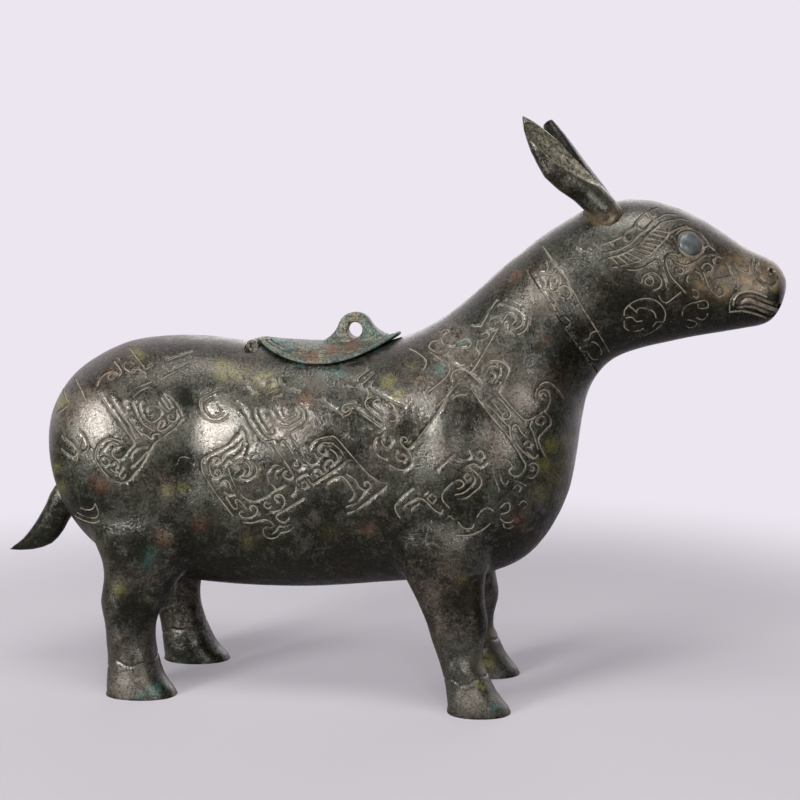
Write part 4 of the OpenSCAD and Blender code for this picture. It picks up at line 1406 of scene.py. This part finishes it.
def rgb(red, green, blue):
    return (red, green, blue, 1.0)


def bump(tree, height, distance_mm, strength, under=None):
    inputs = {"Height": height, "Distance": distance_mm * MM, "Strength": strength}
    if under is not None:
        inputs["Normal"] = under
    return add_node(tree, "ShaderNodeBump", inputs).outputs["Normal"]


def new_finish(name):
    finish = bpy.data.materials.new(name)
    finish.use_nodes = True
    tree = finish.node_tree
    place = tree.nodes.new("ShaderNodeTexCoord").outputs["Object"]
    return finish, tree, place, tree.nodes["Principled BSDF"]


# Noises: size in millimetres, detail, roughness and lift
CLOUD = (26, 4, 0.55, 0.0)
MOTTLE = (6, 9, 0.72, 3.1)
GRAIN = (1.1, 3, 0.7, 7.7)
DRIFT = (22, 7, 0.7, 11.3)
CRUMBS = (5, 12, 0.85, 15.0)
SPECKS = (0.9, 3, 0.6, 21.0)
WEAR = (4, 5, 0.65, 27.0)
SAND = (0.6, 2, 0.5, 33.0)
STONE_VEIN = (3.0, 6, 0.6, 1.0)
CLAY_MOTTLE = (4, 6, 0.6, 4.0)

# Shares of the noises in the metal's tone, and how far crumbs and paint decide where a patch is
CLOUD_SHARE = 0.25
MOTTLE_SHARE = 0.35
GRAIN_SHARE = 0.4
CRUMBS_GAIN = 2.0
CRUMBS_SHIFT = -0.5
PATCH_SHARE = 0.36

# Soft steps: the values between which each lies and, where it isn't 0 to 1, what it goes from and to
TONE_STEP = (0.43, 0.57)
DRIFT_STEP = (0.41, 0.54)
PATCH_STEP = (0.6, 0.88)
PAINTED_SHADE_STEP = (0.45, 0.92)
DARK_GRAIN_STEP = (0.5, 0.36, 0.0, 0.6)
DARK_SAND_STEP = (0.5, 0.36, 0.0, 0.75)
PALE_GRAIN_STEP = (0.54, 0.7, 0.0, 0.4)
PALE_SAND_STEP = (0.56, 0.7, 0.0, 0.3)
SPECK_STEP = (0.64, 0.72, 0.0, 0.7)
PAINTED_SHADE_SHINE = (0, 1, 1.0, 0.15)
SAND_SHINE = (0.38, 0.58, 0.6, 1.0)
BOWL_STEP = (0.38, 0.62, 0.2, 1.0)
SOLDER_STEP = (0.4, 0.6, 0.3, 1.0)
WEAR_STEP = (0.34, 0.56)
GROOVE_SHADE_STEP = (0.2, 0.42)
FILL_STEP = (0.5, 0.72, 0.0, 0.95)
RIDGE_STEP = (0.3, 0.7, 0.0, 0.8)
BLOTCH_STEP = (0.35, 0.65)
BRONZE_ROUGHNESS = (0.55, 0.95, 0.22, 0.42)
LID_ROUGHNESS = (0.3, 0.7, 0.4, 0.6)
EYE_ROUGHNESS = (0.3, 0.7, 0.26, 0.4)

# Tones of the metal: warm dark and light, cool dark and light
BRONZE_TONES = (
    rgb(0.008, 0.005, 0.003), rgb(0.048, 0.032, 0.017), rgb(0.004, 0.006, 0.003), rgb(0.024, 0.032, 0.016),
)
LID_TONES = (
    rgb(0.07, 0.055, 0.035), rgb(0.31, 0.26, 0.17), rgb(0.03, 0.045, 0.036), rgb(0.165, 0.235, 0.185),
)
# Painted patches of patina, and of wear with painted highlight: each with its tint and how far it covers the
# metal
PATCHES = (
    ("wear_and_painted_highlight", rgb(0.24, 0.20, 0.165), 0.7), ("rust", rgb(0.17, 0.08, 0.036), 0.9),
    ("teal", rgb(0.06, 0.16, 0.135), 0.9), ("olive", rgb(0.18, 0.165, 0.045), 0.95),
)
DARK_GRAIN_TINT = rgb(0.005, 0.005, 0.004)
FLECK_TINT = rgb(0.13, 0.112, 0.07)
SPECK_TINT = rgb(0.3, 0.265, 0.19)
# Painted shade: its dark tint and how far it covers the metal
PAINTED_SHADE_TINT = rgb(0.006, 0.006, 0.004)
PAINTED_SHADE_COVER = 0.88
BOWL_TINT = rgb(0.24, 0.22, 0.16)
SOLDER_TINT = rgb(0.33, 0.225, 0.125)
SOLDER_COVER = 0.8
# Painted shade along the edges of the grooves, and how rough they are
GROOVE_SHADE_TINT = rgb(0.007, 0.006, 0.005)
GROOVE_SHADE_COVER = 0.85
GROOVE_ROUGHNESS = 0.8
# Fillings of the grooves and pale tints of the ridges, fresh and worn; the ridges' tints are partly wear and
# partly painted highlight on the lips
FILL_TINTS = (rgb(0.03, 0.026, 0.019), rgb(0.28, 0.25, 0.19))
RIDGE_WEAR_AND_HIGHLIGHT_TINTS = (rgb(0.13, 0.085, 0.045), rgb(0.3, 0.26, 0.2))
# Painted shade on the lid's underside and in the lines round its rim
LID_SHADE_TINT = rgb(0.012, 0.014, 0.011)
LID_SHINE = 0.8
STONE_TINTS = (rgb(0.06, 0.068, 0.068), rgb(0.125, 0.135, 0.133))
CLAY_TINTS = (rgb(0.30, 0.19, 0.11), rgb(0.45, 0.33, 0.22))

# Bumps: depth in millimetres and strength
BRONZE_PITS = (0.3, 0.6)
BRONZE_DENTS = (0.6, 0.25)
LID_PITS = (0.3, 0.7)
LID_DENTS = (0.6, 0.4)
CLAY_BUMPS = (0.3, 0.4)


def patch(tree, crumbs, name, step, amount):
    """How far a painted patch covers the metal, with an edge that breaks into crumbs."""
    spread = calc(tree, "MULTIPLY_ADD", painted(tree, name), PATCH_SHARE, crumbs)
    return between(tree, spread, *step, 0.0, amount)


def patina(tree, place, warm_dark, warm_light, cool_dark, cool_light):
    """Mottled metal with its painted patches, painted highlights and painted shade: its colour, two of its
    noises, and how far it shines.
    """
    mottle = noise(tree, place, *MOTTLE)
    grain = noise(tree, place, *GRAIN)
    sand = noise(tree, place, *SAND)
    tone = calc(tree, "MULTIPLY", mottle, MOTTLE_SHARE)
    tone = calc(tree, "MULTIPLY_ADD", noise(tree, place, *CLOUD), CLOUD_SHARE, tone)
    tone = calc(tree, "MULTIPLY_ADD", grain, GRAIN_SHARE, tone)
    tone = between(tree, tone, *TONE_STEP)
    warm = colour_mix(tree, tone, warm_dark, warm_light)
    cool = colour_mix(tree, tone, cool_dark, cool_light)
    colour = colour_mix(tree, between(tree, noise(tree, place, *DRIFT), *DRIFT_STEP), warm, cool)
    crumbs = calc(tree, "MULTIPLY_ADD", noise(tree, place, *CRUMBS), CRUMBS_GAIN, CRUMBS_SHIFT)
    # Patches of patina, and of wear that is partly painted highlight
    for name, tint, amount in PATCHES:
        colour = colour_mix(tree, patch(tree, crumbs, name, PATCH_STEP, amount), colour, tint)
    dark = calc(
        tree, "MAXIMUM", between(tree, grain, *DARK_GRAIN_STEP), between(tree, sand, *DARK_SAND_STEP),
    )
    colour = colour_mix(tree, dark, colour, DARK_GRAIN_TINT)
    fleck = calc(
        tree, "MAXIMUM", between(tree, grain, *PALE_GRAIN_STEP), between(tree, sand, *PALE_SAND_STEP),
    )
    colour = colour_mix(tree, fleck, colour, FLECK_TINT)
    speck = between(tree, noise(tree, place, *SPECKS), *SPECK_STEP)
    colour = colour_mix(tree, speck, colour, SPECK_TINT)
    # Painted shade darkens the colour and dims the reflections
    painted_shade = patch(tree, crumbs, "painted_shade", PAINTED_SHADE_STEP, 1.0)
    colour = colour_mix(tree, calc(tree, "MULTIPLY", painted_shade, PAINTED_SHADE_COVER), colour, PAINTED_SHADE_TINT)
    shine = calc(tree, "MULTIPLY", between(tree, painted_shade, *PAINTED_SHADE_SHINE), between(tree, sand, *SAND_SHINE))
    return colour, mottle, grain, shine


def bronze_finish():
    finish, tree, place, shader = new_finish("dark_bronze_patina")
    colour, mottle, grain, shine = patina(tree, place, *BRONZE_TONES)
    bowl = calc(tree, "MULTIPLY", painted(tree, "bowl"), between(tree, grain, *BOWL_STEP))
    colour = colour_mix(tree, bowl, colour, BOWL_TINT)
    solder = calc(tree, "MULTIPLY", painted(tree, "solder"), between(tree, mottle, *SOLDER_STEP))
    colour = colour_mix(tree, calc(tree, "MULTIPLY", solder, SOLDER_COVER), colour, SOLDER_TINT)
    mark = painted(tree, "line")
    worn = between(tree, noise(tree, place, *WEAR), *WEAR_STEP)
    # Painted shade along the edges of each groove, then a pale fill of dust in its middle
    groove_shade = between(tree, mark, *GROOVE_SHADE_STEP)
    colour = colour_mix(tree, calc(tree, "MULTIPLY", groove_shade, GROOVE_SHADE_COVER), colour, GROOVE_SHADE_TINT)
    colour = colour_mix(tree, between(tree, mark, *FILL_STEP), colour, colour_mix(tree, worn, *FILL_TINTS))
    # The ridges of the lips are paler, partly worn and partly painted highlight
    ridge = between(tree, painted(tree, "ridge"), *RIDGE_STEP)
    colour = colour_mix(tree, ridge, colour, colour_mix(tree, worn, *RIDGE_WEAR_AND_HIGHLIGHT_TINTS))
    rough = between(tree, calc(tree, "MULTIPLY_ADD", grain, 0.5, mottle), *BRONZE_ROUGHNESS)
    rough = calc(tree, "MAXIMUM", rough, calc(tree, "MULTIPLY", groove_shade, GROOVE_ROUGHNESS))
    set_inputs(tree, shader, {
        "Base Color": colour, "Roughness": rough, "Metallic": 0.15, "IOR": 1.65,
        "Specular IOR Level": shine, "Specular Tint": rgb(1.0, 0.94, 0.86),
        "Normal": bump(tree, mottle, *BRONZE_DENTS, bump(tree, grain, *BRONZE_PITS)),
    })
    return finish


def lid_finish():
    finish, tree, place, shader = new_finish("green_lid_patina")
    colour, mottle, grain, shine = patina(tree, place, *LID_TONES)
    # Painted shade on the lid's underside and in the lines round its rim
    groove_shade = calc(tree, "MULTIPLY", painted(tree, "line"), GROOVE_SHADE_COVER)
    set_inputs(tree, shader, {
        "Base Color": colour_mix(tree, groove_shade, colour, LID_SHADE_TINT),
        "Roughness": between(tree, mottle, *LID_ROUGHNESS), "Metallic": 0.15,
        "Specular IOR Level": calc(tree, "MULTIPLY", shine, LID_SHINE),
        "Normal": bump(tree, mottle, *LID_DENTS, bump(tree, grain, *LID_PITS)),
    })
    return finish


def eye_finish():
    finish, tree, place, shader = new_finish("grey_eye_stone")
    vein = noise(tree, place, *STONE_VEIN)
    set_inputs(tree, shader, {
        "Base Color": colour_mix(tree, between(tree, vein, *BLOTCH_STEP), *STONE_TINTS),
        "Roughness": between(tree, vein, *EYE_ROUGHNESS),
    })
    return finish


def clay_finish():
    finish, tree, place, shader = new_finish("fired_clay")
    mottle = noise(tree, place, *CLAY_MOTTLE)
    set_inputs(tree, shader, {
        "Base Color": colour_mix(tree, between(tree, mottle, *BLOTCH_STEP), *CLAY_TINTS),
        "Roughness": 0.9, "Normal": bump(tree, mottle, *CLAY_BUMPS),
    })
    return finish


BRONZE = bronze_finish()
LID_BRONZE = lid_finish()
EYE_STONE = eye_finish()
CLAY = clay_finish()


def dress(piece, finish, body, slot, *nodes):
    """Gives a finished piece its finish and its body, and hides the solids that it stands for; its slot is
    not used.
    """
    piece.data.materials.clear()
    piece.data.materials.append(finish)
    only(piece)
    bpy.ops.object.shade_smooth_by_angle(angle=SHARP_EDGE)
    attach(piece, body)
    if nodes:
        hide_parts(*nodes)


def paint_patina_and_painted_light(piece, tree):
    """Paints a piece's patches, with painted shade on its undersides and less painted shade on the far side.
    """
    for name, dabs in PATCH_DABS.items():
        paint_dabs(piece, name, dabs)
    places = coordinates(piece)
    # Painted shade on the undersides, where the skin faces down
    rise = np.array([tree.find_nearest(Vector(place))[1].z for place in places])
    below = np.clip(UNDERSIDE_SHADE_START - UNDERSIDE_SHADE_GAIN * rise, 0, 1)
    seen_share = np.interp(places[:, 1], (-SIDE_BLEND, SIDE_BLEND), (1, FAR_SIDE_SHARE))
    paint(piece, "painted_shade", np.maximum(painted_values(piece, "painted_shade") * seen_share, below))


# The vessel


def mould(piece, line, reach, height):
    """Swells or hollows a form along a line of the photograph, on both sides of the animal."""
    seen = pixels_of(coordinates(piece))
    gap = np.full(len(seen), np.inf)
    for x, y in along_curve(line, MOULDING_STEP):
        gap = np.minimum(gap, np.hypot(seen[:, 0] - x, seen[:, 1] - y))
    push_out(piece, np.exp(-(gap / reach) ** 2) * height)


def hold_width(piece):
    """Draws the widest places in to the width of the solids."""
    places = coordinates(piece)
    out = np.abs(places[:, 1])
    widest = cad_box[1].y - WIDTH_MARGIN
    held = np.interp(out, (0, WIDTH_HELD_FROM, out.max()), (0, WIDTH_HELD_FROM, widest))
    places[:, 1] = np.sign(places[:, 1]) * held
    set_coordinates(piece, places)


def eye_ring(engraving, tree, side):
    """Adds the line round an eye."""
    middle, axis = eye_frame(side)
    sideways = axis.orthogonal().normalized()
    upward = axis.cross(sideways)
    ring = []
    for angle in np.linspace(0, 2 * math.pi, EYE_RING_STEPS + 1):
        spoke = sideways * math.cos(angle) + upward * math.sin(angle)
        ring.append(tree.ray_cast(middle + spoke * EYE_RING + axis * EYE_CLEAR, -axis)[0])
    engraving.add_places(ring, *EYE_RING_LINE)


def ornament(tree):
    """The engraved lines of body and head, with mouth, nostrils and eyes."""
    engraving = Engraving()
    for group in (RUMP_LINES, FLANK_LINES, SHOULDER_LINES, HEAD_LINES, COLLAR_SCALES):
        for line in group:
            engraving.add_seen(tree, line)
    for tick in zip(BROW_TICK_STARTS, BROW_TICK_ENDS):
        engraving.add_seen(tree, tick)
    engraving.add_seen(tree, COLLAR_REAR)
    engraving.add_seen(tree, COLLAR_FRONT)
    for line, half_width, depth in MOUTH_LINES:
        engraving.add_seen(tree, line, half_width, depth)
    for line in NOSTRIL_LINES:
        engraving.add_seen(tree, line, *NOSTRIL_LINE)
    for side in BOTH_SIDES:
        eye_ring(engraving, tree, side)
    engraving.settle()
    return engraving


skin = cast_skin()
for line, reach, height in MOULDING:
    mould(skin, line, reach, height)
hold_width(skin)
skin_tree = tree_of(skin)
nostril = seen_at(skin_tree, NOSTRIL)
back_height = back_surface(skin_tree)
engraving = ornament(skin_tree)

collar_run = COLLAR_BOTTOM - COLLAR_TOP
collar_normal = Vector((-collar_run.z, 0, collar_run.x)).normalized()
leg_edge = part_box("body_shell")[0].z - LEG_CUT_BELOW
head = split_at(skin, "head", COLLAR_TOP, collar_normal, True)
trunk = split_at(skin, "trunk", COLLAR_TOP, collar_normal, False)
body = split_at(trunk, "body", (0, 0, leg_edge - LEG_OVERLAP), (0, 0, 1), True)
tuck(body, leg_edge, -1)
open_body(body, hollow_of(skin))
limbs = {}
hoof_lines = Engraving()
for node in LEG_NODES:
    limb = limb_of(skin, node, node.replace("leg", "limb"), leg_edge)
    flat_sole(limb)
    hoof_ring(hoof_lines, limb, HOOF_TOP)
    limbs[node] = limb
hoof_lines.settle()
delete(trunk)
delete(skin)

for piece in (body, head):
    engraving.sink_into(piece)
    engraving.mark(piece, skin_tree)
for piece in limbs.values():
    hoof_lines.sink_into(piece)
pit(head, nostril, NOSTRIL_RADIUS, NOSTRIL_DEPTH, NOSTRIL_RIM)

ears = {"right_ear": ear_leaf("right_ear", 1, skin_tree), "left_ear": ear_leaf("left_ear", -1, skin_tree)}
tail = small_casting("tail", "tail_horn", TAIL_VOXEL, TAIL_SMOOTHING)
lid = lid_plate(back_height)
loop = lifting_loop(back_height)
eyes = {"right_eye": eye_stone("right_eye_stone", 1), "left_eye": eye_stone("left_eye_stone", -1)}

castings = {"body_shell": body, "head_shell": head, "tail": tail, **limbs, **ears}
for node, piece in castings.items():
    dress(piece, BRONZE, "vessel", "bronze", node)
for node, piece in eyes.items():
    dress(piece, EYE_STONE, "vessel", "eye_stone", node)
dress(lid, LID_BRONZE, "lid", "lid_bronze", "lid")
dress(loop, LID_BRONZE, "lid", "lid_bronze", "lid_loop")
for piece in [*castings.values(), lid, loop]:
    paint_patina_and_painted_light(piece, skin_tree)
paint_dabs(head, "solder", GOLD_DABS)
turned = facing_share(body)
for name, _, _ in PATCHES:
    paint(body, name, painted_values(body, name) * turned)
# Painted shade on the far ear and the far legs
for node, least in FAR_PAINTED_SHADE.items():
    paint(castings[node], "painted_shade", np.maximum(painted_values(castings[node], "painted_shade"), least))

CAD_FINISHES = {
    "hinge_bracket": BRONZE, "hinge_pin": BRONZE, "lid_knuckle": LID_BRONZE,
    "right_fore_core": CLAY, "left_fore_core": CLAY, "right_hind_core": CLAY, "left_hind_core": CLAY,
}
for node, finish in CAD_FINISHES.items():
    frame["nodes"][node].data.materials.clear()
    frame["nodes"][node].data.materials.append(finish)


# Floor, light and camera


BACKGROUND = rgb(0.84, 0.79, 0.87)
FLOOR_SIZE = 8
FLOOR_TINT = rgb(0.40, 0.375, 0.40)
FLOOR_GLOW = 0.25
# Soft steps: how far back a reflected ray shows the backdrop, where the floor fades, and the world's light
FLOOR_BEHIND = (0.0, 0.6)
WORLD_BEHIND = (-0.1, 0.5)
FLOOR_FADE = (0.2, 0.42)
WORLD_STRENGTH = (0, 1, 0.15, 1.0)
# Soft lights: place, width and height in metres, and power in watts
LIGHT_AIM = Vector((0, 0, 0.1))
LIGHTS = {
    "left_light": ((-0.78, -1.00, 0.40), (0.36, 0.48), 17),
    "right_light": ((0.44, -1.20, 0.36), (0.2, 0.4), 3.5),
    "top_light": ((0.10, -0.35, 1.15), (0.7, 0.4), 7),
    "back_light": ((0.20, 1.30, 0.70), (1.6, 1.0), 7),
}


def shown(tree, behind):
    """1 for the rays that show the pale backdrop: all of the camera's, and reflected ones that go behind."""
    path = tree.nodes.new("ShaderNodeLightPath")
    mirrored_rays = calc(tree, "MAXIMUM", path.outputs["Is Glossy Ray"], path.outputs["Is Transmission Ray"])
    return calc(tree, "MAXIMUM", path.outputs["Is Camera Ray"], calc(tree, "MULTIPLY", mirrored_rays, behind))


def how_far_back(tree, place):
    """How far back a place or a direction lies."""
    return add_node(tree, "ShaderNodeSeparateXYZ", {0: place}).outputs["Y"]


def floor():
    bpy.ops.object.select_all(action="DESELECT")
    bpy.ops.mesh.primitive_plane_add(size=FLOOR_SIZE, location=(0, 0, 0))
    plane = take_new("floor")
    finish, tree, place, shader = new_finish("pale_floor")
    set_inputs(tree, shader, {"Base Color": FLOOR_TINT, "Roughness": 0.8, "Specular IOR Level": 0.05})
    pale = shown(tree, between(tree, how_far_back(tree, place), *FLOOR_BEHIND))
    glow = add_node(tree, "ShaderNodeEmission", {
        "Color": BACKGROUND, "Strength": calc(tree, "MULTIPLY", pale, FLOOR_GLOW),
    }).outputs[0]
    near = add_node(tree, "ShaderNodeAddShader", {0: shader.outputs[0], 1: glow}).outputs[0]
    far = add_node(tree, "ShaderNodeEmission", {"Color": BACKGROUND, "Strength": pale}).outputs[0]
    reach = add_node(tree, "ShaderNodeVectorMath", {0: place}, operation="LENGTH").outputs["Value"]
    fade = between(tree, reach, *FLOOR_FADE)
    mixed = add_node(tree, "ShaderNodeMixShader", {0: fade, 1: near, 2: far}).outputs[0]
    tree.links.new(mixed, tree.nodes["Material Output"].inputs["Surface"])
    plane.data.materials.append(finish)


def soft_light(name, place, size, power):
    lamp = bpy.data.lights.new(name, "AREA")
    lamp.shape = "RECTANGLE"
    lamp.size, lamp.size_y = size
    lamp.energy = power
    obj = bpy.data.objects.new(name, lamp)
    obj.location = place
    obj.rotation_euler = (LIGHT_AIM - Vector(place)).to_track_quat("-Z", "Y").to_euler()
    bpy.context.scene.collection.objects.link(obj)


def studio():
    floor()
    for name, (place, size, power) in LIGHTS.items():
        soft_light(name, place, size, power)
    world = bpy.data.worlds.new("studio")
    world.use_nodes = True
    tree = world.node_tree
    direction = tree.nodes.new("ShaderNodeTexCoord").outputs["Generated"]
    pale = shown(tree, between(tree, how_far_back(tree, direction), *WORLD_BEHIND))
    background = tree.nodes["Background"]
    background.inputs["Color"].default_value = BACKGROUND
    tree.links.new(between(tree, pale, *WORLD_STRENGTH), background.inputs["Strength"])
    bpy.context.scene.world = world
    bpy.context.scene.view_settings.view_transform = "Standard"


def camera():
    lens = bpy.data.cameras.new("camera")
    lens.lens = LENS_MM
    lens.sensor_width = SENSOR_MM
    lens.clip_start = CLIP_START
    obj = bpy.data.objects.new("camera", lens)
    obj.location = CAMERA_PLACE
    obj.rotation_euler = (CAMERA_AIM - CAMERA_PLACE).to_track_quat("-Z", "Y").to_euler()
    bpy.context.scene.collection.objects.link(obj)
    bpy.context.scene.camera = obj


studio()
camera()
